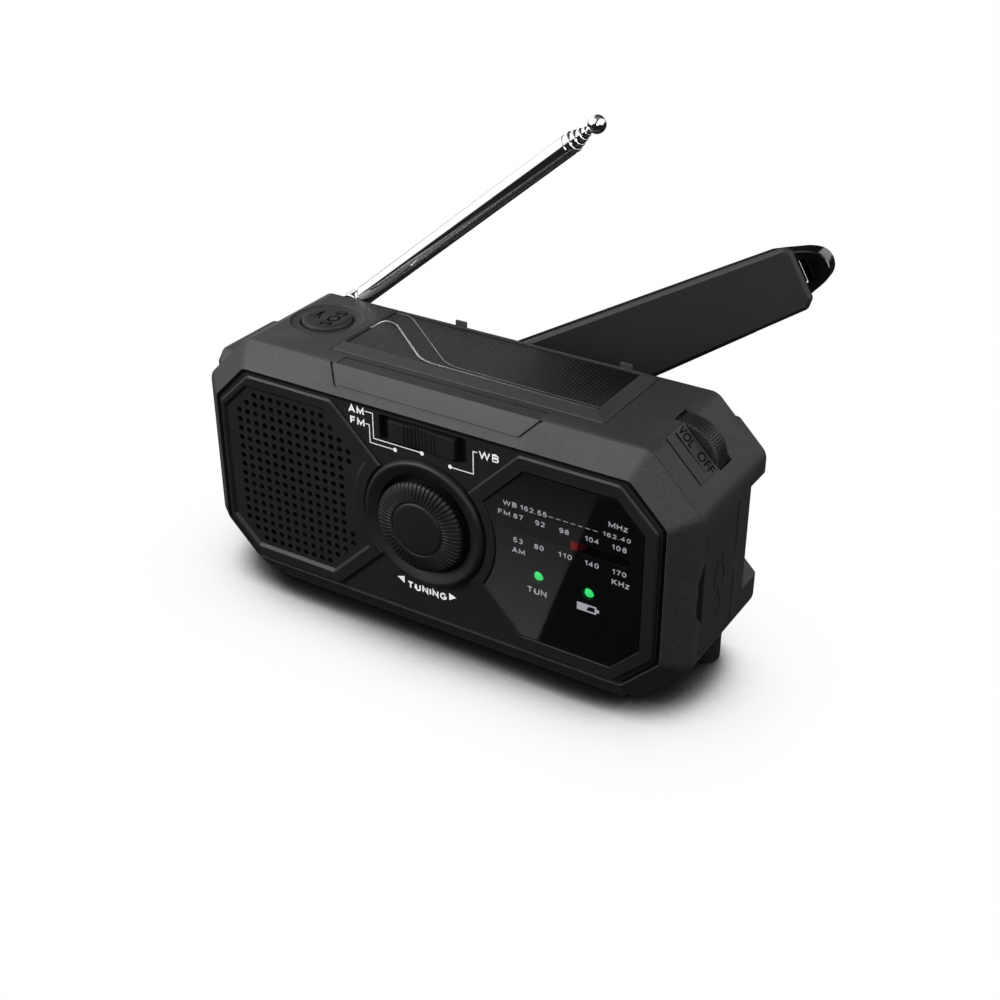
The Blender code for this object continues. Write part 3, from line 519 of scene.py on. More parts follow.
def trace(points, width, low, high):
    """A line of constant width along a polyline, mitred, as one thin solid."""
    count = len(points)
    left, right = [], []
    for i in range(count):
        p = Vector(points[i])
        e = (p - Vector(points[i - 1])).normalized() if i else None
        f = (Vector(points[i + 1]) - p).normalized() if i < count - 1 else None
        e, f = e or f, f or e
        miter = Vector((-e.y, e.x)) + Vector((-f.y, f.x))
        miter = miter / max(miter.length_squared / 2, 0.3)
        left.append(tuple(p + miter * width / 2))
        right.append(tuple(p - miter * width / 2))
    bm = bmesh.new()
    ll, lh, rl, rh = [[bm.verts.new((*p, height)) for p in side]
                      for side in (left, right) for height in (low, high)]
    for k in range(count - 1):
        bm.faces.new((lh[k], lh[k + 1], rh[k + 1], rh[k]))
        bm.faces.new((ll[k], rl[k], rl[k + 1], ll[k + 1]))
        bm.faces.new((ll[k], ll[k + 1], lh[k + 1], lh[k]))
        bm.faces.new((rl[k], rh[k], rh[k + 1], rl[k + 1]))
    for k in (0, count - 1):
        bm.faces.new((ll[k], lh[k], rh[k], rl[k]))
    return close(bm)


def curve_bmesh(curve):
    """Turn a curve into a bmesh by way of a temporary object."""
    holder = bpy.data.objects.new("holder", curve)
    bpy.context.scene.collection.objects.link(holder)
    bpy.context.view_layer.update()
    depsgraph = bpy.context.evaluated_depsgraph_get()
    mesh = bpy.data.meshes.new_from_object(holder.evaluated_get(depsgraph))
    bpy.data.objects.remove(holder)
    bpy.data.curves.remove(curve)
    bm = bmesh.new()
    bm.from_mesh(mesh)
    bpy.data.meshes.remove(mesh)
    return bm


# ================================================================ flat outlines
def circle(cx, cy, r, count=24):
    return [(cx + r * math.cos(2 * math.pi * k / count), cy + r * math.sin(2 * math.pi * k / count))
            for k in range(count)]


def oval_arc(cx, cy, rx, ry, start, end, steps=9):
    angles = [math.radians(start + (end - start) * k / steps) for k in range(steps + 1)]
    return [(cx + rx * math.cos(angle), cy + ry * math.sin(angle)) for angle in angles]


def arc(cx, cy, r, start, end, steps):
    return oval_arc(cx, cy, r, r, start, end, steps)


def bar(p, q, width):
    """Rectangle outline from p to q, half a width longer at each end."""
    p, q = Vector(p), Vector(q)
    d = (q - p).normalized() * (width / 2)
    n = Vector((-d.y, d.x))
    return [tuple(p - d - n), tuple(q + d - n), tuple(q + d + n), tuple(p - d + n)]


def rounded(points, radius, steps=4, corners=None, limit=0.48):
    """Round the listed corners, or all; limit is the share of a side a rounding may take."""
    out, count = [], len(points)
    for i in range(count):
        if corners is not None and i not in corners:
            out.append(points[i])
            continue
        p = Vector(points[i])
        a = Vector(points[i - 1]) - p
        b = Vector(points[(i + 1) % count]) - p
        len_a, len_b = a.length, b.length
        a.normalize()
        b.normalize()
        half = a.angle(b) / 2
        t = min(radius / math.tan(half), limit * len_a, limit * len_b)
        r = t * math.tan(half)
        center = p + (a + b).normalized() * (r / math.sin(half))
        s, e = p + a * t - center, p + b * t - center
        start = math.atan2(s.y, s.x)
        sweep = (math.atan2(e.y, e.x) - start + math.pi) % (2 * math.pi) - math.pi
        for k in range(steps + 1):
            angle = start + sweep * k / steps
            out.append((center.x + r * math.cos(angle), center.y + r * math.sin(angle)))
    return out


def rect(x0, y0, x1, y1, radius=0.0, steps=4):
    points = [(x0, y0), (x1, y0), (x1, y1), (x0, y1)]
    return rounded(points, radius, steps) if radius else points


def smooth_line(points, reach):
    """Polyline with its inner corners rounded."""
    out = [points[0]]
    for a, p, b in zip(points, points[1:], points[2:]):
        a, p, b = Vector(a), Vector(p), Vector(b)
        u, v = (a - p), (b - p)
        t = min(reach, 0.45 * u.length, 0.45 * v.length)
        s, e = p + u.normalized() * t, p + v.normalized() * t
        for i in range(9):
            w = i / 8
            out.append(tuple((1 - w) ** 2 * s + 2 * w * (1 - w) * p + w * w * e))
    out.append(points[-1])
    return out


# ================================================================ lettering
def words(text, x0, y0, x1, y1, low, high):
    """Font lettering filling a rectangle, as a thin solid between two heights."""
    thicken = 0.02
    curve = bpy.data.curves.new("words", "FONT")
    curve.body = text
    curve.size = 1.0
    curve.resolution_u = 3
    curve.extrude = 0.1
    curve.offset = thicken
    curve.space_character = 1.0 + 2.2 * thicken
    bm = curve_bmesh(curve)
    xs = [v.co.x for v in bm.verts]
    ys = [v.co.y for v in bm.verts]
    left, bottom = min(xs), min(ys)
    sx = (x1 - x0) / (max(xs) - left)
    sy = (y1 - y0) / (max(ys) - bottom)
    for v in bm.verts:
        v.co = Vector((x0 + (v.co.x - left) * sx, y0 + (v.co.y - bottom) * sy,
                       low if v.co.z < 0 else high))
    return close(bm)


# plain sans letters as centre lines in a box one unit high: (width, strokes)
STROKES = {
    "A": (0.80, [[(0, 0), (0.40, 1), (0.80, 0)], [(0.14, 0.34), (0.66, 0.34)]]),
    "B": (0.62, [[(0, 0), (0, 1), (0.36, 1)] + oval_arc(0.36, 0.76, 0.24, 0.24, 90, -90)
                 + [(0, 0.52)],
                 [(0.0, 0.52), (0.36, 0.52)] + oval_arc(0.36, 0.26, 0.26, 0.26, 90, -90)
                 + [(0, 0)]]),
    "F": (0.56, [[(0, 0), (0, 1), (0.56, 1)], [(0, 0.52), (0.48, 0.52)]]),
    "G": (0.72, [oval_arc(0.38, 0.5, 0.38, 0.5, 42, 318, 14)
                 + [(0.72, 0.22), (0.72, 0.46), (0.42, 0.46)]]),
    "H": (0.64, [[(0, 0), (0, 1)], [(0.64, 0), (0.64, 1)], [(0, 0.5), (0.64, 0.5)]]),
    "I": (0.0, [[(0, 0), (0, 1)]]),
    "K": (0.66, [[(0, 0), (0, 1)], [(0.62, 1), (0.0, 0.40)], [(0.22, 0.60), (0.66, 0)]]),
    "M": (0.84, [[(0, 0), (0, 1), (0.42, 0.18), (0.84, 1), (0.84, 0)]]),
    "N": (0.64, [[(0, 0), (0, 1), (0.64, 0), (0.64, 1)]]),
    "T": (0.68, [[(0, 1), (0.68, 1)], [(0.34, 1), (0.34, 0)]]),
    "U": (0.62, [[(0, 1), (0, 0.30)] + oval_arc(0.31, 0.30, 0.31, 0.30, 180, 360)
                 + [(0.62, 1)]]),
    "W": (1.14, [[(0, 1), (0.28, 0), (0.57, 0.95), (0.86, 0), (1.14, 1)]]),
    "z": (0.44, [[(0, 0.68), (0.44, 0.68), (0, 0), (0.46, 0)]]),
    "0": (0.50, [oval_arc(0.25, 0.5, 0.25, 0.5, 0, 380, 20)]),
    "1": (0.30, [[(0.02, 0.74), (0.28, 1), (0.28, 0)]]),
    "2": (0.50, [oval_arc(0.25, 0.72, 0.24, 0.28, 165, -35, 10) + [(0.0, 0.0), (0.52, 0.0)]]),
    "3": (0.50, [oval_arc(0.24, 0.76, 0.22, 0.24, 150, -80, 10),
                 oval_arc(0.24, 0.27, 0.25, 0.27, 85, -150, 10)]),
    "4": (0.54, [[(0.40, 0), (0.40, 1), (0.0, 0.30), (0.54, 0.30)]]),
    "5": (0.50, [[(0.46, 1), (0.09, 1), (0.03, 0.52)]
                 + oval_arc(0.23, 0.32, 0.26, 0.31, 118, -155, 12)]),
    "6": (0.50, [[(0.45, 0.84)] + oval_arc(0.26, 0.68, 0.25, 0.32, 50, 180, 8)
                 + [(0.01, 0.32)],
                 oval_arc(0.25, 0.32, 0.24, 0.31, 0, 380, 16)]),
    "7": (0.50, [[(0.0, 1), (0.50, 1), (0.18, 0.0)]]),
    "8": (0.50, [oval_arc(0.25, 0.76, 0.20, 0.23, 0, 380, 16),
                 oval_arc(0.25, 0.27, 0.25, 0.27, 0, 380, 16)]),
    "9": (0.50, [oval_arc(0.25, 0.68, 0.24, 0.31, 0, 380, 16),
                 [(0.49, 0.68)] + oval_arc(0.24, 0.32, 0.25, 0.32, 0, -130, 8)]),
    ".": (0.04, [[(0.02, -0.02), (0.02, 0.10)]]),
}
SPACE_WIDTH, LETTER_GAP = 0.30, 0.20     # shares of the letter height
STROKE_STEP = 0.0004                     # each stroke tops the last, so none lie level


def print_words(text, x0, y0, x1, y1, film, weight):
    """Stroke lettering filling a rectangle; weight is a share of the letter height."""
    height = y1 - y0
    width = weight * height
    low, high = film
    lines, x = [], 0.0
    for char in text:
        if char == " ":
            x += SPACE_WIDTH
            continue
        advance, strokes = STROKES[char]
        lines += [[(x + px, py) for px, py in stroke] for stroke in strokes]
        x += advance + LETTER_GAP + weight
    sx = (x1 - x0 - width) / (x - LETTER_GAP - weight)
    return merge(*[
        trace([(x0 + width / 2 + px * sx, y0 + width / 2 + py * (height - width))
               for px, py in line], width, low, high + STROKE_STEP * i)
        for i, line in enumerate(lines)])


# ================================================================ outlines of the front
HALF_W, HALF_H, CHAMFER = 80.0, 38.4, 15.0
CREASE_Y = 6.2                       # where the sloping front rim meets the sides
PANEL_OFF = 6.7                      # panel edge, inwards from the case outline


def octagon(off, radius=None, steps=8):
    """Case outline, off millimetres inside the outermost one."""
    a, b = HALF_W - off, HALF_H - off
    c = CHAMFER - off * (2 - math.sqrt(2))
    points = [(a, b - c), (a - c, b), (-a + c, b), (-a, b - c),
              (-a, -b + c), (-a + c, -b), (a - c, -b), (a, -b + c)]
    return rounded(points, max(4.6 - 0.28 * off, 0.8) if radius is None else radius, steps)


def bay(lower, radius, start, end, arc_steps, fillet, fillet_steps):
    """Outline beside the knob: lower corners, the same mirrored up, an arc about the knob."""
    upper = [(x, -z) for x, z in reversed(lower)]
    return rounded(lower + upper + arc(0, 0, radius, start, end, arc_steps),
                   fillet, fillet_steps, corners=range(6), limit=0.45)


def speaker_outline(grow=0.0):
    a = math.degrees(math.atan2(14.1, -20.9))
    lower = [(-33.0 + 0.41 * grow, -26.2 - grow), (-60.9 - 0.41 * grow, -26.2 - grow),
             (-69.2 - grow, -18.1 - 0.41 * grow)]
    return bay(lower, 24.5 - grow, a - 1.2 * grow, 360 - a + 1.2 * grow, 28, 1.0, 3)


def window_outline(grow=0.0):
    a = math.degrees(math.atan2(13.2, 19.5))
    lower = [(31.85 - 0.41 * grow, -25.8 - grow), (59.2 + 0.41 * grow, -25.8 - grow),
             (67.4 + grow, -17.65 - 0.41 * grow)]
    return bay(lower, 23.4 - grow, a + 1.2 * grow, -a - 1.2 * grow, 28, 0.5, 3)


LEFT_BORDER = bay([(-30.6, -30.3), (-60.2, -30.3), (-71.4, -19.6)], 20.1, 135, 225, 20, 2.2, 5)
RIGHT_BORDER = bay([(30.2, -30.3), (60.2, -30.3), (71.4, -19.6)], 20.1, 45, -45, 20, 2.2, 5)

# ================================================================ front shell
# cross-section of the rim: (distance inside the case outline, y)
RIM_SECTION = [
    (0.12, CREASE_Y), (0.0, 6.06), (0.08, 5.93), (0.40, 5.76), (6.36, 0.34), (6.60, 0.17),
    (6.76, 0.17), (6.84, 0.30), (6.86, 0.50), (6.86, 2.7), (10.0, 2.7), (10.0, 4.5),
    (4.4, 9.0), (2.7, 9.0), (2.7, CREASE_Y)]
# groove drawn on the sloping top of the rim: (x, distance up the slope from the crease)
RIM_GROOVE = [(-35.2, 1.0), (-30.7, -5.9), (-30.2, -6.25), (-29.5, -6.38), (27.9, -6.38),
              (28.5, -6.25), (29.0, -5.9), (34.1, 1.0)]
upslope = Vector((0, 0.679, 0.734)).normalized()
TOP_SLOPE = basis(X, upslope, X.cross(upslope), (0, CREASE_Y, HALF_H))

shell = put("front_bezel", loft([[(x, y, z) for x, z in octagon(off)] for off, y in RIM_SECTION]),
            CASE, CASE_M, "case", "front_shell", smooth=28)
cut(shell, (trace(RIM_GROOVE, 0.85, -0.55, 1.0), TOP_SLOPE))

# ================================================================ panel, borders and grille
put("panel_base", plate(octagon(PANEL_OFF + 1.15, 2.6, 5),
                        [speaker_outline(0.1), window_outline(0.3), circle(0, 0, 17.2, 72),
                         rect(-14.6, 22.2, 13.6, 29.9, 0.7)],
                        [(-2.35, 0.0), (-0.5, 0.0), (-0.3, 0.12)]),
    FRONT, PANEL_M, "panel", "front_panel")
put("speaker_border", plate(LEFT_BORDER, [speaker_outline(0.0)],
                            [(-1.2, 0.0, 0.0), (0.0, 0.0, 0.0), (0.32, 0.0, 0.34),
                             (0.72, 0.40, 0.74), (0.80, 0.55, 0.90)]),
    FRONT, PANEL_M, "panel", smooth=24)
put("window_border", plate(RIGHT_BORDER, [window_outline(0.28)],
                           [(-1.2, 0.0, 0.0), (0.32, 0.0, 0.0), (0.72, 0.40, 0.06),
                            (0.80, 0.55, 0.16)]),
    FRONT, PANEL_M, "panel", smooth=24)

HOLE_PITCH, HOLE_R, GRILLE_X = 3.0, 0.92, -49.65
GRILLE_THICK = 0.5
# row, counted downwards from the middle: (first column, last column)
GRILLE_ROWS = {
    -8: (-3, 5), -7: (-4, 6), -6: (-5, 7), -5: (-5, 8), -4: (-5, 8), -3: (-5, 7),
    -2: (-5, 7), -1: (-5, 7), 0: (-5, 7), 1: (-5, 7), 2: (-5, 7), 3: (-5, 7),
    4: (-5, 8), 5: (-5, 8), 6: (-5, 7), 7: (-4, 6), 8: (-3, 5)}


def grille():
    """Perforated sheet filled as a flat curve with holes."""
    curve = bpy.data.curves.new("grille", "CURVE")
    curve.dimensions = "2D"
    curve.fill_mode = "BOTH"
    curve.extrude = GRILLE_THICK / 2
    loops = [speaker_outline(0.02)]
    for row, (first, last) in GRILLE_ROWS.items():
        for column in range(first, last + 1):
            loops.append(circle(GRILLE_X + column * HOLE_PITCH, -row * HOLE_PITCH, HOLE_R, 18))
    for loop in loops:
        spline = curve.splines.new("POLY")
        spline.points.add(len(loop) - 1)
        for point, (x, z) in zip(spline.points, loop):
            point.co = (x, z, 0, 1)
        spline.use_cyclic_u = True
    bm = curve_bmesh(curve)
    bmesh.ops.translate(bm, verts=bm.verts, vec=(0, 0, -GRILLE_THICK / 2))
    return close(bm)


put("perforated_grille", grille(), FRONT, PANEL_M, "panel", "speaker_grille", smooth=25)

# ================================================================ tuning knob and its well
put("knob_well", turn([(19.62, 0.25), (19.58, 0.9), (19.42, 1.42), (19.1, 1.78), (18.75, 1.96),
                       (18.4, 1.98), (18.0, 1.92), (15.6, 0.95), (15.2, 0.75), (15.0, 0.3),
                       (15.0, -2.2), (5.0, -2.2), (5.0, -2.6), (16.9, -2.6), (16.9, 0.1),
                       (19.5, 0.1)], 120),
    FRONT, PANEL_M, "panel", "knob_ring", smooth=40)

KNOB_RIBS, RIB_STEPS = 60, 10
# knob surface from base to middle: (radius, height, groove depth)
KNOB_ROWS = [
    (12.6, -1.6, 0.0), (12.6, 0.8, 0.30), (13.4, 1.5, 0.55), (13.85, 2.3, 0.66),
    (13.9, 2.9, 0.66), (13.6, 3.45, 0.66), (12.9, 3.85, 0.62), (11.8, 4.15, 0.56),
    (10.6, 4.32, 0.46), (9.4, 4.42, 0.28), (8.65, 4.46, 0.0), (8.35, 4.40, 0.0),
    (8.22, 4.22, 0.0), (8.05, 4.22, 0.0), (7.95, 4.42, 0.0), (7.7, 4.56, 0.0),
    (7.0, 4.62, 0.0), (3.0, 4.66, 0.0)]
KNOB_TOP = 4.66
BORE_R, BORE_TOP = 3.3, 2.6


def ribbed_knob():
    count = KNOB_RIBS * RIB_STEPS
    bm = bmesh.new()
    skin = []
    for r, height, depth in KNOB_ROWS:
        top = min(1.0, max(0.0, (14.2 - r) / 3.0))     # 0 on the flank, 1 on the top
        ring = []
        for k in range(count):
            angle = 2 * math.pi * k / count
            share = (k % RIB_STEPS) / RIB_STEPS
            # a narrow groove once per rib
            dip = depth * max(0.0, math.cos(2 * math.pi * share)) ** 4.0
            reach = r - dip * (1 - 0.75 * top)
            ring.append(bm.verts.new((reach * math.cos(angle), reach * math.sin(angle),
                                      height - dip * top)))
        skin.append(ring)
    top_point = bm.verts.new((0, 0, KNOB_TOP))
    bore = [[bm.verts.new((x, y, height)) for x, y in circle(0, 0, BORE_R, count)]
            for height in (KNOB_ROWS[0][1], BORE_TOP)]
    for a, b in zip(skin, skin[1:]):
        bridge(bm, a, b)
    bridge(bm, skin[-1], [top_point])
    bridge(bm, bore[0], skin[0])
    bridge(bm, bore[1], bore[0])
    bridge(bm, bore[1], [bm.verts.new((0, 0, BORE_TOP))])
    return close(bm)


put("ribbed_knob", ribbed_knob(), FRONT, KNOB_M, "panel", "tuning_knob", "tuning", smooth=38)

# ================================================================ dial
LAMPS = (("tuning", 35.85), ("battery", 51.35))      # name, x
LAMP_Z = -5.95
POINTER_SLOT = rect(23.75, 5.9, 63.15, 8.8, 1.4, 6)
put("dial_glass", plate(window_outline(0.0), [],
                        [(-0.15, 0.0), (0.62, 0.0), (0.76, 0.07), (0.80, 0.18)]),
    FRONT, CLEAR_M, "clear", "dial_window", smooth=0)
put("dial_face", plate(window_outline(-0.4),
                       [POINTER_SLOT] + [circle(x, LAMP_Z, 1.8, 28) for _, x in LAMPS],
                       [(-1.5, 0.0), (-0.53, 0.0), (-0.45, 0.06)]),
    FRONT, PLATE_M, "gloss", "dial_plate")
# near-black sheet behind the pointer slot: painted shade for the dark inside of the case
put("slot_shade_sheet", block((22.2, -0.6, -5.1), (66.0, 12.6, -5.0)), FRONT, DARK_M, "gloss",
    smooth=0)

DIAL_FILM = (-0.455, -0.425)         # bottom and top of the ink on the dial face
DIAL_PRINT = front(-0.45, -0.85)
# name, text, x0, z0, x1, z1
DIAL_TEXTS = [
    ("scale_wb", "WB 162.55", 25.4, 14.45, 38.9, 15.95),
    ("scale_wb_end", "162.40", 55.5, 14.45, 63.6, 15.75),
    ("scale_mhz", "MHz", 57.1, 17.45, 62.6, 19.2),
    ("scale_fm_87", "FM 87", 23.9, 11.2, 31.6, 12.75),
    ("scale_fm_92", "92", 35.4, 11.2, 38.3, 12.75),
    ("scale_fm_98", "98", 42.7, 11.2, 45.6, 12.75),
    ("scale_fm_104", "104", 50.3, 11.2, 54.5, 12.75),
    ("scale_fm_108", "108", 58.2, 11.2, 62.6, 12.75),
    ("scale_am_53", "53", 28.7, 3.75, 31.6, 5.35),
    ("scale_am_80", "80", 35.2, 3.75, 38.1, 5.35),
    ("scale_am_110", "110", 42.5, 3.75, 46.7, 5.35),
    ("scale_am_140", "140", 50.5, 3.75, 54.7, 5.35),
    ("scale_am_170", "170", 58.6, 3.75, 62.8, 5.35),
    ("scale_am", "AM", 28.3, 0.45, 32.3, 2.15),
    ("scale_khz", "KHz", 58.7, 0.5, 63.8, 2.35),
    ("label_tun", "TUN", 33.1, -10.7, 39.2, -8.75)]


def dial_print(name, mesh):
    put(name, mesh, DIAL_PRINT, DIAL_INK_M, "panel", smooth=0)


for name, text, *box in DIAL_TEXTS:
    dial_print(name, print_words(text, *box, DIAL_FILM, weight=0.17))
DASH_X, DASH_Z, DASH_PITCH, DASH_LENGTH, DASH_WIDTH = 39.5, 15.05, 2.2, 1.25, 0.16
for k in range(7):
    x = DASH_X + DASH_PITCH * k
    dash = bar((x, DASH_Z), (x + DASH_LENGTH, DASH_Z), DASH_WIDTH)
    dial_print("scale_dash_%d" % k, slab(dash, *DIAL_FILM))
dial_print("battery_symbol", merge(
    plate(rect(48.6, -10.8, 54.5, -8.4, 0.2, 2), [rect(49.1, -10.3, 54.0, -8.9)],
          [(height, 0) for height in DIAL_FILM]),
    slab(rect(54.5, -10.1, 55.3, -9.1), *DIAL_FILM),
    slab([(49.0, -10.4), (51.3, -10.4), (52.3, -8.8), (49.0, -8.8)],
         DIAL_FILM[0], DIAL_FILM[1] + 0.003)))

# red flag on a carriage that runs behind the slot
put("pointer_flag", merge(
    plate(rect(45.5, 6.15, 47.85, 8.55, 0.35, 3), [], [(-2.9, 0.0), (-0.75, 0.0), (-0.6, 0.12)]),
    slab(rect(45.5, 5.2, 48.2, 10.3, 0.2, 2), -4.9, -2.8)),
    FRONT, RED_M, "red", "dial_pointer", "pointer")
LAMP_PROFILE = [(0, -0.55), (0.5, -0.6), (0.95, -0.75), (1.25, -1.0), (1.45, -1.4), (1.5, -1.9),
                (1.5, -6.0), (0, -6.0)]
for name, x in LAMPS:
    put("lamp_" + name, turn(LAMP_PROFILE, 32), front(x, LAMP_Z), GREEN_M, "green",
        "led_" + name, smooth=50)

# ================================================================ band switch
SLIDE_X0, SLIDE_X1, SLIDE_Z0, SLIDE_Z1 = -11.2, 10.4, 22.8, 29.2
HOLLOW_X, HOLLOW_HALF = -1.1, 5.5    # ribbed hollow: middle and half length
RIBS_X0, RIB_PITCH = -6.6, 1.1


def slide_stations():
    """Places along x: close together over the ribs and at the ends."""
    xs = [SLIDE_X0, -11.1, -10.8] + [-10.2 + 0.5 * i for i in range(0, 7)]
    x = RIBS_X0
    while x < 4.4:
        xs += [x, x + 0.16, x + 0.62, x + 0.80]
        x += RIB_PITCH
    xs += [4.6 + 0.5 * i for i in range(0, 11)] + [10.0, 10.3, SLIDE_X1]
    return sorted(set(round(x, 3) for x in xs))


def finger_slide():
    """Two flat lobes and a ribbed hollow between them."""
    rings = []
    for x in slide_stations():
        u = (x - HOLLOW_X) / HOLLOW_HALF
        top = 0.60 - (0.80 * math.cos(math.pi * u / 2) ** 2 if abs(u) < 1 else 0.0)
        if abs(u) < 1:
            top += 0.17 if ((x - RIBS_X0) / RIB_PITCH) % 1.0 < 0.60 else -0.10
        end = min(1.0, (x - SLIDE_X0) / 0.4, (SLIDE_X1 - x) / 0.4)
        top -= 0.30 * (1 - max(0.0, end)) ** 2
        taper = 0.15 * (1 - max(0.0, end))
        z0, z1 = SLIDE_Z0 + taper, SLIDE_Z1 - taper
        rings.append([(x, z0, -2.0), (x, z1, -2.0), (x, z1, top - 0.28),
                      (x, z1 - 0.10, top - 0.08), (x, z1 - 0.30, top), (x, z0 + 0.30, top),
                      (x, z0 + 0.10, top - 0.08), (x, z0, top - 0.28)])
    return loft(rings, closed=False)


put("finger_slide", merge(finger_slide(),
                          block((-15.2, 21.0, -3.6), (14.4, 28.0, -2.65)),
                          block((-8, 24, -3.0), (7.2, 28, -1.5))),
    FRONT, KNOB_M, "panel", "band_switch_slider", "band_switch", smooth=30)

# ================================================================ printing on the panel
PANEL_FILM = (-0.30, -0.27)          # bottom and top of the ink on the sunk middle
# name, text, x0, z0, x1, z1, stroke weight
PANEL_TEXTS = [
    ("print_am", "AM", -25.0, 27.9, -19.7, 30.35, 0.215),
    ("print_fm", "FM", -24.5, 24.45, -19.6, 26.85, 0.215),
    ("print_wb", "WB", 17.6, 25.6, 23.8, 27.9, 0.165),
    ("print_tuning", "TUNING", -7.1, -24.0, 6.3, -21.65, 0.215)]
# name, line, dot at its end
PANEL_LEADS = [
    ("lead_am", [(-19.3, 29.5), (-16.75, 29.5), (-16.75, 21.8), (-0.9, 21.8)], (-0.7, 21.65)),
    ("lead_fm", [(-19.3, 25.7), (-18.0, 25.7), (-18.0, 20.2), (-9.8, 20.2)], (-9.6, 20.2)),
    ("lead_wb", [(17.1, 27.0), (15.8, 27.0), (15.8, 20.1), (8.6, 20.1)], (8.4, 20.2))]
PANEL_ARROWS = [("arrow_left", [(-10.5, -21.3), (-8.1, -20.5), (-8.1, -22.9)]),
                ("arrow_right", [(9.6, -21.9), (7.2, -21.0), (7.2, -23.4)])]


def panel_print(name, mesh):
    put(name, mesh, FRONT, WHITE_M, "panel", smooth=0)


for name, text, *box, weight in PANEL_TEXTS:
    panel_print(name, print_words(text, *box, PANEL_FILM, weight))
for name, line, dot in PANEL_LEADS:
    panel_print(name, merge(trace(line, 0.26, *PANEL_FILM),
                            slab(circle(*dot, 0.62, 20), PANEL_FILM[0], PANEL_FILM[1] + 0.004)))
for name, outline in PANEL_ARROWS:
    panel_print(name, slab(outline, *PANEL_FILM))

# ================================================================ rear shell
HUB_X, HUB_Z = -28.1, 3.0
ANT_X, ANT_Y, ANT_Z = -57.6, 48.2, 35.5
WHEEL_X, WHEEL_Z, WHEEL_R = 65.2, 28.0, 10.0
HUB = along_y(HUB_X, HUB_Z)
ANT_PIVOT = along_y(ANT_X, ANT_Z)
WHEEL = along_y(WHEEL_X, WHEEL_Z)
SOS_ORIGIN = (-53.2, 28.8, 0)
SOS = basis(X, Y, Z, SOS_ORIGIN)
down_slope, outward = Vector((1, 0, -1)).normalized(), Vector((1, 0, 1)).normalized()
CORNER = basis(down_slope, Y, outward, (70.25, 28.0, 33.15))     # upper right chamfer
BACK_CHANNEL = [(-49.0, -10.4), (75.2, -10.4), (84.0, -19.2), (84.0, 17.7), (-49.0, 16.5)]

rear = put("case_body", plate(octagon(0), [],
                              [(-47.4, 1.5), (-47.32, 1.0), (-47.0, 0.5), (-46.5, 0.16),
                               (-45.9, 0.0), (-6.72, 0.0), (-6.5, 0.16)]),
           FRONT, CASE_M, "case", "rear_shell", smooth=30)
# inside: the main hollow and two deeper spaces, high and low
cut(rear,
    (slab(octagon(2.4), -34.4, 0), FRONT),
    (block((-70, 30, 19.0), (70, 43.0, 30.6)), CASE),
    (block((-66, 30, -33.0), (68, 45.0, -18.4)), CASE))
# a disc of solid behind the crank
weld(rear, (cylinder(24.0, 30.4, 36.0, 64), HUB))
# back: crank channel, hub well and bore, antenna ledge and stud hole; top: solar recess
cut(rear,
    (plate(BACK_CHANNEL, [], [(-51.0, -4.2), (-47.4, -0.6), (-46.8, 0.0), (-37.0, 0.0)]), FRONT),
    (turn([(0, 33.2), (21.2, 33.2), (21.2, 46.8), (21.8, 47.4), (25.4, 51.0), (0, 51.0)], 96),
     HUB),
    (cylinder(6.9, 25.0, 40.0, 48), HUB),
    (block((-66.0, 45.0, 31.5), (71.5, 52.0, 44.0)), CASE),
    (cylinder(2.3, 40.0, 50.0, 28), ANT_PIVOT),
    (block((-39.8, 12.5, 37.1), (48.1, 44.2, 45.0)), CASE))
cut(rear,
    # SOS button well with a dished rim
    (turn([(0, 26.0), (9.5, 26.0), (9.5, 36.0), (7.95, 36.0), (7.95, 37.7), (8.1, 37.85),
           (10.15, 37.95), (10.5, 38.05), (10.85, 38.36), (11.2, 38.8), (0, 38.8)], 80), SOS),
    # thumbwheel window and pocket, then the sunk label field
    (block((-7.6, -3.5, -8.0), (7.6, 3.5, 6.0)), CORNER),
    (cylinder(WHEEL_R + 0.9, 24.5, 31.5, 48), WHEEL),
    (block((-7.55, -14.5, -0.30), (7.55, -3.5, 4.0)), CORNER),
    # right end: cover recess, round dish, square opening and round hole
    (block((77.9, 9.9, -21.4), (82.0, 29.85, 16.9)), CASE),
    (turn([(0, 78.6), (12.0, 78.6), (12.0, 79.6), (12.5, 80.1), (14.0, 81.6), (0, 81.6)], 64),
     basis(Y, Z, X, (0, 18.0, -1.2))),
    (block((70.0, 13.0, 1.0), (79.0, 26.6, 9.0)), CASE),
    (cylinder(3.2, 70.0, 79.0, 28), basis(Y, Z, X, (0, 19.8, -9.6))),
    # left end: torch opening; underneath: battery opening
    (slab(rect(18.0, -22.0, 36.0, 22.0, 4.0), -82.0, -72.0), SIDE),
    (block((-12.3, 15.7, -40.0), (62.3, 34.3, -34.0)), CASE),
    # top: groove and shallow step in front of the solar frame
    (block((-33.0, 10.25, 37.95), (32.5, 10.75, 39.5)), CASE),
    (block((-33.0, 6.0, 38.22), (32.5, 10.5, 39.5)), CASE))
for name, x in (("left", -18.3), ("right", 35.8)):
    put("antenna_clip_" + name, block((x, 44.25, 37.3), (x + 3.8, 45.0, 40.3), 0.25), CASE,
        CASE_M, "case")

# ================================================================ volume label and wheel
TAPER_Z = -9.2


def label_marks(top, word_base, taper_base, line_base, taper_half):
    """Both words, the tapering level mark and the line, between their bases and top."""
    taper = [(-6.9, TAPER_Z - taper_half), (-6.9, TAPER_Z + taper_half), (6.0, -9.15)]
    return [words("VOL", -7.1, -8.1, -1.3, -4.5, word_base, top),
            words("OFF", 1.0, -8.1, 7.1, -4.5, word_base, top),
            slab(taper + [(6.0, -9.3 if top > 0 else -9.15)][:1 if top > 0 else 0],
                 taper_base, top),
            block((-7.3, -14.2, line_base), (7.3, -13.65, top))]


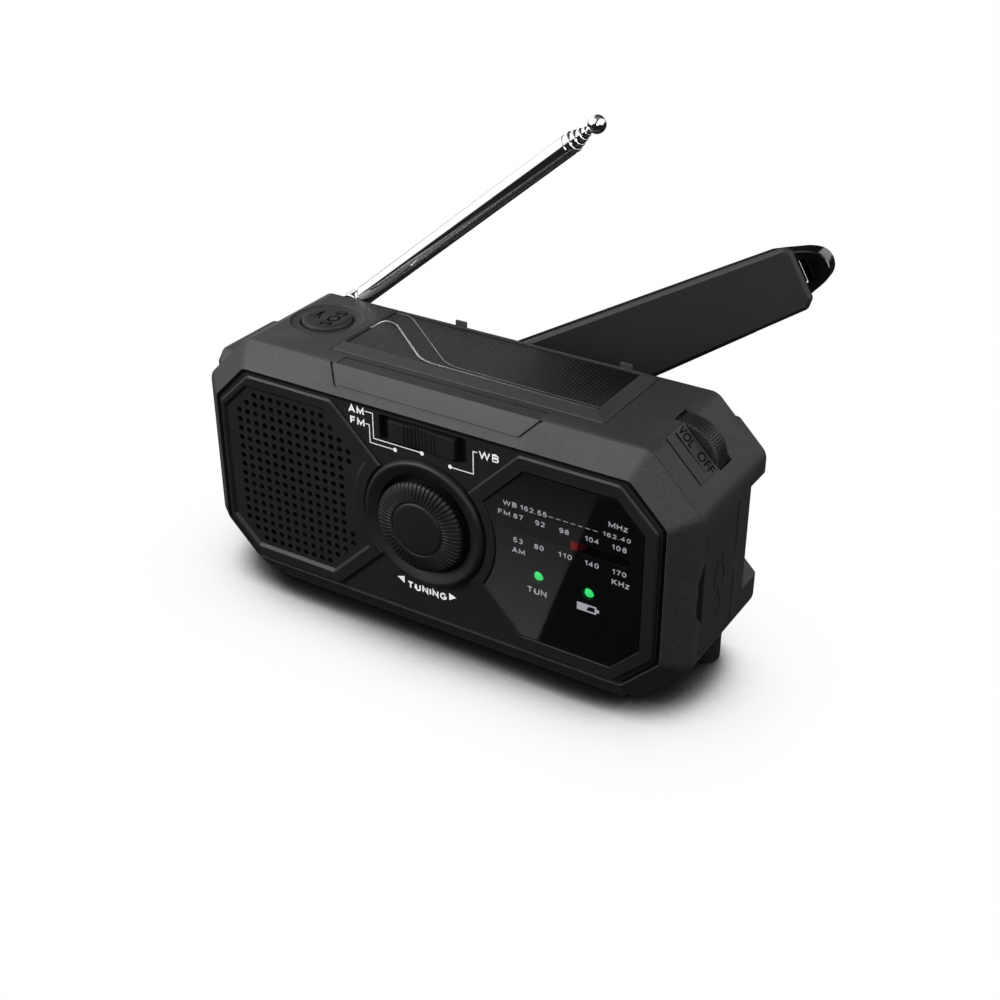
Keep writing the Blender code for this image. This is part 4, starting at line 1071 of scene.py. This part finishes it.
def label_parts(top, word_base, taper, taper_base, line_base):
    """Both words, the tapering level mark and the line, between their bases and top."""
    return [words("VOL", -7.1, -8.1, -1.3, -4.5, word_base, top),
            words("OFF", 1.0, -8.1, 7.1, -4.5, word_base, top),
            slab(taper, taper_base, top),
            block((-7.3, -14.2, line_base), (7.3, -13.65, top))]


label = put("volume_label", block((-7.5, -14.45, -0.9), (7.5, -3.55, -0.14), 0.05, 1), CORNER,
            CASE_M, "case")
for mark in label_parts(0.5, -0.55, [(-6.9, -9.55), (-6.9, -8.85), (6.0, -9.15), (6.0, -9.3)],
                        -0.6, -0.7):
    cut(label, (mark, CORNER))
# near-black pieces in the engraved words and marks: painted shade in the grooves
put("volume_label_groove_shade", merge(*label_parts(
    -0.125, -0.58, [(-6.9, -9.6), (-6.9, -8.8), (6.0, -9.15), (6.0, -9.3)], -0.62, -0.72)),
    CORNER, DARK_M, "case", smooth=0)

WHEEL_TEETH, WHEEL_ROOT_R = 76, 9.62
# one tooth: (share of the pitch, radius)
TOOTH = [(0.0, WHEEL_ROOT_R), (0.22, WHEEL_ROOT_R), (0.34, WHEEL_R), (0.80, WHEEL_R),
         (0.92, WHEEL_ROOT_R)]


def thumbwheel():
    points = []
    for i in range(WHEEL_TEETH):
        for share, r in TOOTH:
            angle = 2 * math.pi * (i + share) / WHEEL_TEETH
            points.append((r * math.cos(angle), r * math.sin(angle)))
    return plate(points, [circle(0, 0, 2.3, 32)],
                 [(24.9, 0.35, 0), (25.2, 0.0, 0), (30.8, 0.0, 0), (31.1, 0.35, 0)])


put("volume_thumbwheel", thumbwheel(), WHEEL, WHEEL_M, "panel", "volume_wheel", "volume",
    smooth=30)


# ================================================================ solar module
def solar_frame():
    foot = rect(-39.5, 12.8, 47.8, 43.9, 0.6, 3)
    crest = rect(-38.55, 17.3, 43.45, 43.2, 0.5, 3)
    opening = rect(-38.3, 17.6, 43.2, 43.0, 0.4, 3)
    levels = [(foot, 37.4), (foot, 38.45), (inset(foot, 0.18), 38.62), (crest, 39.2),
              (opening, 39.12), (opening, 37.4)]
    return loft([[(x, y, z) for x, y in outline] for outline, z in levels])


put("solar_bezel", solar_frame(), CASE, CASE_M, "case", "solar_frame", smooth=30)

RIDGE_PITCH = 1.19
# one ridge: (share of the pitch, height)
RIDGE = [(0.0, -0.18), (0.20, -0.18), (0.32, 0.12), (0.46, 0.22), (0.64, 0.22), (0.78, 0.14),
         (0.88, -0.10)]


def solar_face():
    """Ribbed clear face over the cells: shallow rounded ridges running front to back."""
    x0, x1, y0, y1, base = -38.05, 42.95, 17.85, 42.75, 37.4
    stations = [(x0 + (i + share) * RIDGE_PITCH, height)
                for i in range(int((x1 - x0) / RIDGE_PITCH)) for share, height in RIDGE]
    stations.append((x1, -0.18))
    return loft([[(x, y0, base), (x, y0, 38.55 + h), (x, y0 + 0.15, 38.65 + h),
                  (x, y1 - 0.15, 38.65 + h), (x, y1, 38.55 + h), (x, y1, base)]
                 for x, h in stations], closed=False)


put("solar_face", solar_face(), CASE, SOLAR_M, "solar", "solar_panel", smooth=50)
put("cell_trace_1", trace(smooth_line([(-38.0, 29.5), (-37.7, 35.9), (-33.5, 35.9),
                                       (-13.0, 18.9), (42.8, 18.1)], 4.5),
                          0.55, 38.84, 38.90), CASE, BUS_M, "solar", smooth=0)
put("cell_trace_2", trace(smooth_line([(-38.0, 42.3), (-32.5, 42.3), (-5.5, 20.3),
                                       (42.8, 19.5)], 4.5),
                          0.30, 38.84, 38.88), CASE, BUS_M, "solar", smooth=0)

# ================================================================ SOS button
SOS_TEXT = basis(Y, -X, Z, SOS_ORIGIN)
# torch symbol: the torch and three rays
TORCH_SIGN = [[(-0.3, 1.8), (-0.3, 4.6), (0.6, 3.8), (3.0, 3.8), (3.0, 2.6), (0.6, 2.6)],
              bar((-0.9, 3.2), (-2.1, 3.2), 0.5),
              bar((-0.9, 4.2), (-1.9, 4.9), 0.5),
              bar((-0.9, 2.2), (-1.9, 1.5), 0.5)]


def sos_marks(low, high):
    return ([words("SOS", -5.2, -4.3, 5.5, -0.5, low, high)]
            + [slab(outline, low, high) for outline in TORCH_SIGN])


sos_cap = put("sos_cap", turn([(0, 39.02), (5.6, 39.05), (6.5, 39.08), (6.95, 38.98),
                               (7.3, 38.7), (7.5, 38.3), (7.6, 37.8), (7.6, 35.6),
                               (8.9, 35.6), (8.9, 34.4), (0, 34.4)], 72),
              SOS, CAP_M, "case", "sos_button", "sos", smooth=35)
for mark in sos_marks(38.7, 40.0):
    cut(sos_cap, (mark, SOS_TEXT))
# near-black floor under the engraved letters and torch sign: painted shade in the grooves
put("sos_marks", merge(*sos_marks(38.6, 38.86)), SOS_TEXT, DARK_M, "case", body="sos", smooth=0)

# ================================================================ sockets' rubber cover
put("socket_flap", plate(rect(10.2, -21.1, 29.55, 16.6, 0.5, 4), [],
                         [(78.2, 0.0), (79.7, 0.0), (79.93, 0.10), (80.0, 0.30)]),
    SIDE, RUBBER_M, "rubber", "port_cover", "port_flap", smooth=30)
RAISED = [(79.9, 0), (80.22, 0), (80.3, 0.1)]
# raised plug symbol: body, two prongs and cord
PLUG_SIGN = [
    plate(rect(17.0, -4.6, 23.0, 2.6, 1.0, 4), [rect(17.7, -3.9, 22.3, 1.9, 0.5, 3)], RAISED),
    plate(rect(18.1, 2.5, 19.1, 5.4, 0.2, 2), [], RAISED),
    plate(rect(20.9, 2.5, 21.9, 5.4, 0.2, 2), [], RAISED),
    trace(smooth_line([(20.0, -4.5), (20.0, -7.2), (22.2, -9.6), (20.0, -12.0), (20.0, -13.4)],
                      2.0), 0.75, 79.9, 80.27)]
for i, mark in enumerate(PLUG_SIGN):
    put("socket_mark_%d" % i, mark, SIDE, RUBBER_M, "rubber", body="port_flap", smooth=30)

# ================================================================ torch on the left end
TORCH_Y = 27.0
LENS_RIBS, LENS_RIB_Z, LENS_RIB_PITCH, LENS_RIB_WIDTH = 21, -18.4, 1.84, 0.55
BOWL_X, BOWL_PITCH = -75.4, 14.0
TORCH_OUTER = rounded([(12.4, -24.2), (15.6, -27.6), (39.0, -27.6), (42.0, -24.6), (42.0, 24.6),
                       (39.0, 27.6), (15.6, 27.6), (12.4, 24.2)], 2.2, 5)
TORCH_INNER = rect(TORCH_Y - 8.4, -21.4, TORCH_Y + 8.4, 21.4, 3.4, 6)

torch = put("torch_ring", plate(
    TORCH_OUTER, [rect(TORCH_Y - 8.7, -21.7, TORCH_Y + 8.7, 21.7, 3.7, 6)],
    [(-74.6, 0, 0), (-81.2, 0.0, 0.0), (-82.2, 0.18, 0.0), (-83.0, 0.62, 0.12),
     (-83.5, 1.2, 0.4), (-83.8, 2.0, 0.9)]),
    SIDE, CASE_M, "case", "torch_bezel", smooth=30)
cut(torch, (slab(octagon(0.02), -60, 0), FRONT))


def torch_lens():
    ribs = []
    for k in range(LENS_RIBS):
        z = LENS_RIB_Z + LENS_RIB_PITCH * k
        ribs.append(block((TORCH_Y - 6.6, z, -82.86),
                          (TORCH_Y + 6.6, z + LENS_RIB_WIDTH, -82.6)))
    return merge(plate(TORCH_INNER, [], [(-81.2, 0), (-82.5, 0), (-82.7, 0.25)]), *ribs)


put("torch_lens_cover", torch_lens(), SIDE, LENS_M, "clear", "torch_lens", smooth=30)
reflector = put("torch_reflector_bowls", slab(TORCH_INNER, -80.9, -73.0), SIDE, MIRROR_M,
                "mirror", "torch_reflector")
BOWL_PROFILE = [(0, -0.6), (2.2, -0.6), (3.2, 0.3), (4.4, 1.7), (5.4, 3.4), (6.15, 5.5),
                (6.4, 7.0), (0, 7.0)]
DOME_PROFILE = [(0, 0.75), (0.4, 0.68), (0.8, 0.42), (1.0, 0.0), (1.05, -0.12), (0, -0.12)]
for z in (-BOWL_PITCH, 0.0, BOWL_PITCH):
    bowl = basis(Y, Z, -X, (BOWL_X, TORCH_Y, z))
    cut(reflector, (turn(BOWL_PROFILE, 40), bowl))
    put("torch_chip_%d" % round(z), block((-1.5, -1.5, -0.6), (1.5, 1.5, -0.1), 0.1, 1), bowl,
        WHITE_M, "mirror")
    put("torch_dome_%d" % round(z), turn(DOME_PROFILE, 24), bowl, PHOSPHOR_M, "mirror",
        smooth=50)

# ================================================================ crank hub
CRANK_ANGLE, CRANK_SPLAY = math.radians(30.65), math.radians(10.0)
HINGE_R, HINGE_Y = 13.1, 48.04       # hinge axis, from the hub axis and from the face
LUG_R = 3.7
RADIAL = Vector((math.cos(CRANK_ANGLE), 0, math.sin(CRANK_ANGLE)))
ACROSS = Vector((math.sin(CRANK_ANGLE), 0, -math.cos(CRANK_ANGLE)))
ARM_DIR = RADIAL * math.cos(CRANK_SPLAY) + Y * math.sin(CRANK_SPLAY)
ARM = basis(ARM_DIR, ACROSS, ARM_DIR.cross(ACROSS),
            (HUB_X + HINGE_R * RADIAL.x, HINGE_Y, HUB_Z + HINGE_R * RADIAL.z))
CRANK = basis(RADIAL, ACROSS, RADIAL.cross(ACROSS), (HUB_X, 0, HUB_Z))
CRANK_UPRIGHT = CRANK @ Matrix(((1, 0, 0, 0), (0, 0, -1, 0), (0, 1, 0, 0), (0, 0, 0, 1)))
LIE_ACROSS = Matrix.Rotation(-math.pi / 2, 4, "X")   # turns local z onto the pin direction
HINGE_PIN = CRANK @ shift(HINGE_R, 0, HINGE_Y) @ LIE_ACROSS

hub = put("crank_wheel", turn([(0, 36.5), (8.6, 36.5), (9.2, 36.15), (9.8, 36.15), (10.4, 36.5),
                               (18.9, 36.5), (19.7, 36.7), (20.1, 36.62), (20.4, 36.3),
                               (20.4, 33.9), (20.1, 33.6), (4.4, 33.6), (4.4, 30.5),
                               (3.0, 30.5), (3.0, 25.6), (2.8, 25.4), (0, 25.4)], 96),
          CRANK, GLOSS_M, "gloss", "crank_hub", "crank", smooth=30)
LUG = ([(HINGE_R - LUG_R, 36.0), (HINGE_R + LUG_R, 36.0)]
       + arc(HINGE_R, HINGE_Y, LUG_R, 0, 180, 16))
weld(hub, *[(plate(LUG, [], [(-v1, 0.3), (-v1 + 0.3, 0), (-v0 - 0.3, 0), (-v0, 0.3)]),
             CRANK_UPRIGHT) for v0, v1 in ((-10.4, -6.5), (6.5, 10.4))])
cut(hub, (cylinder(1.8, -12, 12, 32), HINGE_PIN))
put("hinge_rod", cylinder(1.5, -10.4, 10.4, 32, chamfer=0.25), HINGE_PIN, STEEL_M, "steel",
    "hinge_pin", "crank", smooth=35)

# ================================================================ crank arm
ARM_ROOT_HALF, ARM_TAPER_START = 12.7, 18.0
# rounded nose of the arm: (distance from the hinge, offset across)
NOSE = [(104.0, -9.35), (107.5, -8.45), (110.6, -7.5), (114.0, -6.45), (116.6, -4.95),
        (118.0, -3.2), (118.4, -1.3), (118.2, 0.4), (117.3, 2.0), (115.9, 3.1), (113.9, 3.9),
        (110.9, 4.9), (107.5, 6.3), (104.0, 7.9)]


def arm_half(s):
    """Half width of the arm at distance s from the hinge."""
    if s <= ARM_TAPER_START:
        return ARM_ROOT_HALF
    return ARM_ROOT_HALF - (s - ARM_TAPER_START) * (ARM_ROOT_HALF - 9.25) / 90.0


def nose_curve():
    """Catmull-Rom curve through the nose points, four steps to a span."""
    last = len(NOSE) - 1
    fine = []
    for k in range(last):
        p0, p1, p2, p3 = (Vector(NOSE[max(0, min(last, k + d))]) for d in (-1, 0, 1, 2))
        for i in range(4):
            t = i / 4
            fine.append(tuple(0.5 * ((2 * p1) + (p2 - p0) * t
                                     + (2 * p0 - 5 * p1 + 4 * p2 - p3) * t * t
                                     + (3 * p1 - p0 - 3 * p2 + p3) * t ** 3)))
    return fine + [NOSE[-1]]


def arm_outline(shrink, start):
    """Long tapering loop with a rounded nose, set a little to one side."""
    points = ([(start - shrink, -arm_half(start)), (ARM_TAPER_START, -ARM_ROOT_HALF),
               (62.0, -arm_half(62.0)), (92.0, -9.85)] + nose_curve()
              + [(92.0, 9.4), (62.0, arm_half(62.0)), (ARM_TAPER_START, ARM_ROOT_HALF),
                 (start - shrink, arm_half(start))])
    return inset(ccw(points), shrink)


arm = put("crank_loop", plate(arm_outline(0, 5.0), [arm_outline(2.6, 9.5)],
                              [(2.1, 0.28, 0.30), (2.35, 0.05, 0.08), (2.7, 0.0, 0.0),
                               (8.6, 0.0, 0.0), (9.5, 0.25, 0.0), (9.9, 0.7, 0.1),
                               (10.0, 1.0, 0.25)]),
          ARM, GLOSS_M, "gloss", "crank_arm", "arm", smooth=30)
ARM_PIN = ARM @ LIE_ACROSS
weld(arm, (cylinder(3.6, -6.1, 6.1, 48, chamfer=0.25), ARM_PIN),
     (block((0.0, -6.1, -2.6), (6.0, 6.1, 3.6)), ARM))
cut(arm, (cylinder(1.8, -12, 12, 32), ARM_PIN))

LID = [(6.4, -arm_half(6.4)), (18.0, -12.7), (109.4, -9.6), (111.1, -7.9), (111.1, 5.9),
       (108.8, 8.2), (18.0, 12.7), (6.4, arm_half(6.4))]
put("crank_lid", plate(rounded(ccw(LID), 1.6, 5, limit=0.45), [],
                       [(0.0, 1.05), (0.08, 0.80), (0.62, 0.14), (0.85, 0.0), (1.8, 0.0)]),
    ARM, COVER_M, "case", "crank_cover", "arm", smooth=24)
put("crank_nose_web", slab([(110.4, -6.9), (114.0, -5.6), (117.0, -3.0), (117.0, 0.6),
                            (114.6, 2.6), (110.4, 4.2)], 5.4, 8.6),
    ARM, GLOSS_M, "gloss", body="arm", smooth=30)

# ================================================================ crank grip
GRIP = ARM @ shift(106.0, 0, 6.1)
GRIP_PIN = GRIP @ LIE_ACROSS
BARREL = GRIP @ Matrix.Rotation(-math.pi / 2, 4, "Y")    # local z back towards the hinge
stem = put("grip_yoke", cylinder(3.9, -4.6, 2.2, 40, chamfer=0.3), GRIP_PIN, GLOSS_M, "gloss",
           "grip_stem", "grip_pivot", smooth=35)
weld(stem, (turn([(0, 2.0), (1.7, 2.0), (1.7, 46.6), (2.9, 46.6), (2.9, 47.7), (2.6, 48.0),
                  (0, 48.0)], 32), BARREL))
cut(stem, (cylinder(1.5, -8, 8, 32), GRIP_PIN))
put("grip_rod", cylinder(1.2, -6.3, 6.3, 28, chamfer=0.2), GRIP_PIN, STEEL_M, "steel",
    "grip_pin", "arm", smooth=35)


def grip_profile():
    """Swelling barrel with nine shallow grooves."""
    profile = [(2.0, 4.3), (3.05, 4.3), (3.3, 4.6), (3.7, 8.0)]
    for i in range(9):
        s = 10.5 + 3.6 * i
        r = 3.45 + 0.38 * math.sin(math.pi * (s - 8.0) / 36.0)
        profile += [(r, s), (r - 0.22, s + 0.25), (r - 0.22, s + 0.75), (r, s + 1.0)]
    return profile + [(3.65, 43.2), (3.2, 45.9), (2.9, 46.2), (2.0, 46.2)]


put("grip_barrel", turn(grip_profile()), BARREL, GRIP_M, "panel", "crank_grip", "grip",
    smooth=35)

# ================================================================ antenna
ANT_ANGLE = math.radians(39.8)
ANT_DIR = Vector((math.cos(ANT_ANGLE), 0, math.sin(ANT_ANGLE)))
ANTENNA = basis(Y, ANT_DIR.cross(Y), ANT_DIR, (ANT_X, ANT_Y, ANT_Z))
knuckle = put("aerial_knuckle", cylinder(3.6, 45.5, 50.9, 48, chamfer=0.3), ANT_PIVOT,
              CHROME_M, "chrome", "antenna_knuckle", "antenna", smooth=35)
weld(knuckle, (cylinder(2.3, 2.0, 9.0, 32), ANTENNA))
cut(knuckle, (cylinder(2.25, 40, 60, 32), ANT_PIVOT))
put("aerial_screw", turn([(0, 42.0), (2.0, 42.0), (2.0, 51.3), (3.2, 51.3), (3.2, 51.9),
                          (2.8, 52.3), (0, 52.3)], 40),
    ANT_PIVOT, STEEL_M, "steel", "antenna_stud", smooth=35)

TUBE_WALL = 0.35
# telescopic stages: (outer radius, start, end) along the antenna
TUBES = [(2.95, 4.6, 98.2), (2.45, 12.0, 99.9), (1.95, 13.0, 101.6), (1.45, 14.0, 103.2)]


def stage_tube(r, start, end, first):
    """One stage with a rolled rim at its mouth; the first has a rounded foot."""
    if first:
        foot = [(r - 0.5, start), (r - 0.15, start + 0.35), (r, start + 1.0)]
    else:
        foot = [(r - 0.10, start), (r, start + 0.15)]
    mouth = [(r, end - 2.2), (r - 0.16, end - 2.0), (r - 0.16, end - 1.35), (r, end - 1.15),
             (r, end - 0.35), (r - 0.12, end - 0.08), (r - 0.25, end),
             (r - TUBE_WALL, end), (r - TUBE_WALL, start)]
    return turn(foot + mouth, 56)


for number, (r, start, end) in enumerate(TUBES, 1):
    put("aerial_%d" % number, stage_tube(r, start, end, number == 1), ANTENNA, CHROME_M,
        "chrome", "antenna_tube_%d" % number,
        "antenna" if number == 1 else "antenna_%d" % number, smooth=35)

BALL_R, BALL_S = 2.5, 106.5
ball = [(BALL_R * math.cos(math.radians(a)), BALL_S + BALL_R * math.sin(math.radians(a)))
        for a in range(-58, 90, 8)]
put("aerial_end", turn([(0, 15.0), (0.85, 15.0), (0.95, 15.2), (0.95, 104.0), (1.35, 104.3)]
                       + ball + [(0, BALL_S + BALL_R)], 56),
    ANTENNA, CHROME_M, "chrome", "antenna_tip", "antenna_end", smooth=40)

# ================================================================ feet and battery door
put("foot_strip", block((-60.0, 8.0, -42.0), (60.0, 15.0, -38.7), 0.7, 3), CASE, FOOT_M,
    "rubber", "front_foot")
for name, x in (("left", -70.0), ("right", 70.0)):
    foot = put("foot_round_" + name, turn([(0, -42.0), (3.7, -42.0), (4.1, -41.85),
                                           (4.3, -41.4), (4.3, -30.0), (0, -30.0)], 48),
               basis(X, Y, Z, (x, 38.5, 0)), FOOT_M, "rubber", "rear_foot_" + name, smooth=35)
    cut(foot, (slab(octagon(-0.05), -60, 0), FRONT))
door = put("battery_lid", block((-12.0, 16.0, -38.4), (62.0, 34.0, -36.2), 0.3, 2), CASE,
           CASE_M, "case", "battery_door", "door")
# round finger dip and three grooves
cut(door, (slab(circle(25.0, 20.0, 5.0, 40), -39.5, -37.8), CASE),
    *[(block((21.0, 19.0 + 1.4 * i, -39.0), (29.0, 19.5 + 1.4 * i, -37.5)), CASE)
      for i in (3, 4, 5)])

# ================================================================ hand every piece to its body
for piece in list(bpy.context.scene.objects):
    if piece.type == "MESH" and piece.get("body"):
        if piece.get("smooth", 32):
            weighted = piece.modifiers.new("weighted", "WEIGHTED_NORMAL")
            weighted.mode = "FACE_AREA"
            weighted.weight = 60
            weighted.keep_sharp = True
        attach(piece, piece["body"])
        if piece.get("stands"):
            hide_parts(piece["stands"])


# ================================================================ floor
def floor_material():
    """White that glows evenly, with a painted shadow: ambient occlusion darkens it only close under
    the radio.
    """
    material = bpy.data.materials.new("floor_white_painted_shadow")
    tree = new_tree(material)
    occlusion = add_node(tree, "AmbientOcclusion", {"Distance": 0.036}, samples=24)
    ramp = add_node(tree, "ValToRGB", {"Fac": occlusion.outputs["AO"]})
    ramp.color_ramp.interpolation = "B_SPLINE"
    # (openness, grey of the painted shadow)
    for place, grey in ((0.36, 0.0), (0.46, 0.12), (0.55, 0.52), (0.66, 0.86), (0.84, 0.98)):
        ramp.color_ramp.elements.new(place).color = (grey, grey, grey, 1)
    ramp.color_ramp.elements[0].color = (0, 0, 0, 1)
    ramp.color_ramp.elements[-1].color = (1, 1, 1, 1)
    send(tree, add_node(tree, "Emission", {"Color": ramp.outputs["Color"], "Strength": 1.0}))
    return material


def sheet(name, points, material):
    """Single four-cornered face, in metres, that casts no shadow and lights nothing."""
    mesh = bpy.data.meshes.new(name)
    mesh.from_pydata(points, [], [(0, 1, 2, 3)])
    mesh.materials.append(material)
    piece = bpy.data.objects.new(name, mesh)
    bpy.context.scene.collection.objects.link(piece)
    piece.visible_diffuse = False
    piece.visible_transmission = False
    piece.visible_shadow = False
    return piece


floor = sheet("floor", [(-6, -6, 0), (6, -6, 0), (6, 6, 0), (-6, 6, 0)], floor_material())
floor.visible_glossy = False


# ================================================================ world
def background(tree, strength):
    return add_node(tree, "Background", {"Color": (1, 1, 1, 1),
                                         "Strength": strength}).outputs[0]


def reflected_room(tree, direction, gx, gz):
    """What shiny parts see: a bright left wall, a front patch, a right wall, a dim ceiling."""
    def step(value, low, high):
        return remap(tree, value, from_min=low, from_max=high, interpolation_type="SMOOTHSTEP")

    left_wall = calc(tree, "MULTIPLY", step(gx, -0.44, -0.68), step(gz, -0.12, -0.02))
    left_wall = calc(tree, "MULTIPLY", left_wall, 1.15)
    facing = add_node(tree, "VectorMath", {0: direction, 1: (-0.454, -0.562, 0.691)},
                      operation="DOT_PRODUCT").outputs["Value"]
    front_patch = calc(tree, "MULTIPLY", step(facing, 0.72, 0.98), 1.3)
    right_wall = calc(tree, "MULTIPLY", step(gx, 0.30, 0.50), step(gz, 0.10, 0.30))
    right_wall = calc(tree, "MULTIPLY", right_wall, 1.5)
    ceiling = calc(tree, "MULTIPLY", step(gz, 0.30, 0.95), 0.06)
    brightest = calc(tree, "MAXIMUM", calc(tree, "MAXIMUM", left_wall, front_patch), right_wall)
    room = background(tree, calc(tree, "ADD", brightest, calc(tree, "ADD", ceiling, 0.015)))
    dim_sky = background(tree, calc(tree, "MULTIPLY", step(gz, -0.05, 0.25), 0.06))
    return room, dim_sky


world = bpy.data.worlds.new("studio")
bpy.context.scene.world = world
world_tree = new_tree(world)
ray = add_node(world_tree, "LightPath").outputs
direction = add_node(world_tree, "TexCoord").outputs["Generated"]
axes = add_node(world_tree, "SeparateXYZ", {0: direction}).outputs
room, dim_sky = reflected_room(world_tree, direction, axes["X"], axes["Z"])
unseen = add_node(world_tree, "MixShader", {"Fac": ray["Is Glossy Ray"], 1: dim_sky, 2: room})
send(world_tree, add_node(world_tree, "MixShader", {
    "Fac": ray["Is Camera Ray"], 1: unseen.outputs[0],
    2: background(world_tree, 1.1)}), "OutputWorld")

# ================================================================ lights
LIGHT_TARGET = Vector((0, 0.01, 0.04))


def area(name, direction, distance, size, power):
    """Softbox at a distance from the target, along a direction, facing it."""
    toward = Vector(direction).normalized()
    light = bpy.data.lights.new(name, "AREA")
    light.shape = "RECTANGLE"
    light.size, light.size_y = size
    light.energy = power
    light.spread = math.pi
    lamp = bpy.data.objects.new(name, light)
    bpy.context.scene.collection.objects.link(lamp)
    lamp.location = LIGHT_TARGET + toward * distance
    lamp.rotation_mode = "QUATERNION"
    lamp.rotation_quaternion = (-toward).to_track_quat("-Z", "Y")


area("key_softbox", direction=(-0.46, -0.66, 0.55), distance=1.1, size=(0.6, 0.4), power=8.2)
area("top_softbox", direction=(0.1, 0.25, 1.0), distance=1.3, size=(0.9, 0.9), power=0.25)
area("right_fill", direction=(1.0, 0.1, 0.40), distance=1.2, size=(0.5, 0.6), power=3.0)
area("back_fill", direction=(0.15, 1.0, 0.20), distance=1.2, size=(0.6, 0.4), power=0.5)
area("front_fill", direction=(0.55, -0.75, 0.35), distance=1.2, size=(0.5, 0.5), power=1.8)

# ================================================================ card the dial window mirrors
# its right edge falls on the window's diagonal, as the camera sees it
CAMERA_PLACE = Vector((0.21031, -0.31241, 0.26446))
CARD_Y = -0.9
CARD_REACH = Vector((-0.9, 0, 0))
GLASS_Z = -0.8                       # y of the glass face, mm
mirrored_camera = Vector((CAMERA_PLACE.x, 2 * at(0, GLASS_Z, 0).y - CAMERA_PLACE.y,
                          CAMERA_PLACE.z))


def on_card(point):
    """Place on the card whose reflection is seen at a point of the glass."""
    sight = point - mirrored_camera
    return mirrored_camera + sight * ((CARD_Y - mirrored_camera.y) / sight.y)


def card_material(upper_z, lower_z):
    material = bpy.data.materials.new("card_glow")
    tree = new_tree(material)
    position = add_node(tree, "NewGeometry").outputs["Position"]
    height = add_node(tree, "SeparateXYZ", {0: position}).outputs["Z"]
    send(tree, add_node(tree, "Emission", {"Strength": remap(
        tree, height, from_min=upper_z, from_max=lower_z, to_min=0.02, to_max=0.43)}))
    return material


card_upper = on_card(at(56.2, GLASS_Z, 32.0))
card_lower = on_card(at(34.5, GLASS_Z, -32.0))
card = sheet("mirror_card", [card_lower, card_upper, card_upper + CARD_REACH,
                             card_lower + CARD_REACH],
             card_material(card_upper.z, card_lower.z))
card.visible_camera = False

# ================================================================ camera
camera_data = bpy.data.cameras.new("camera")
camera_data.lens, camera_data.sensor_width = 55.58, 36.0
camera_data.clip_start, camera_data.clip_end = 0.01, 20.0
camera = bpy.data.objects.new("camera", camera_data)
bpy.context.scene.collection.objects.link(camera)
forward = Vector((-0.45385, 0.73309, -0.50655)).normalized()
right = forward.cross(Vector((-0.2655, 0.4314, 0.8623)).normalized()).normalized()
up = right.cross(forward)
camera.matrix_world = (Matrix.Translation(CAMERA_PLACE)
                       @ Matrix((right, up, -forward)).transposed().to_4x4())
bpy.context.scene.camera = camera
bpy.context.scene.view_settings.view_transform = "Standard"
bpy.context.scene.view_settings.look = "None"
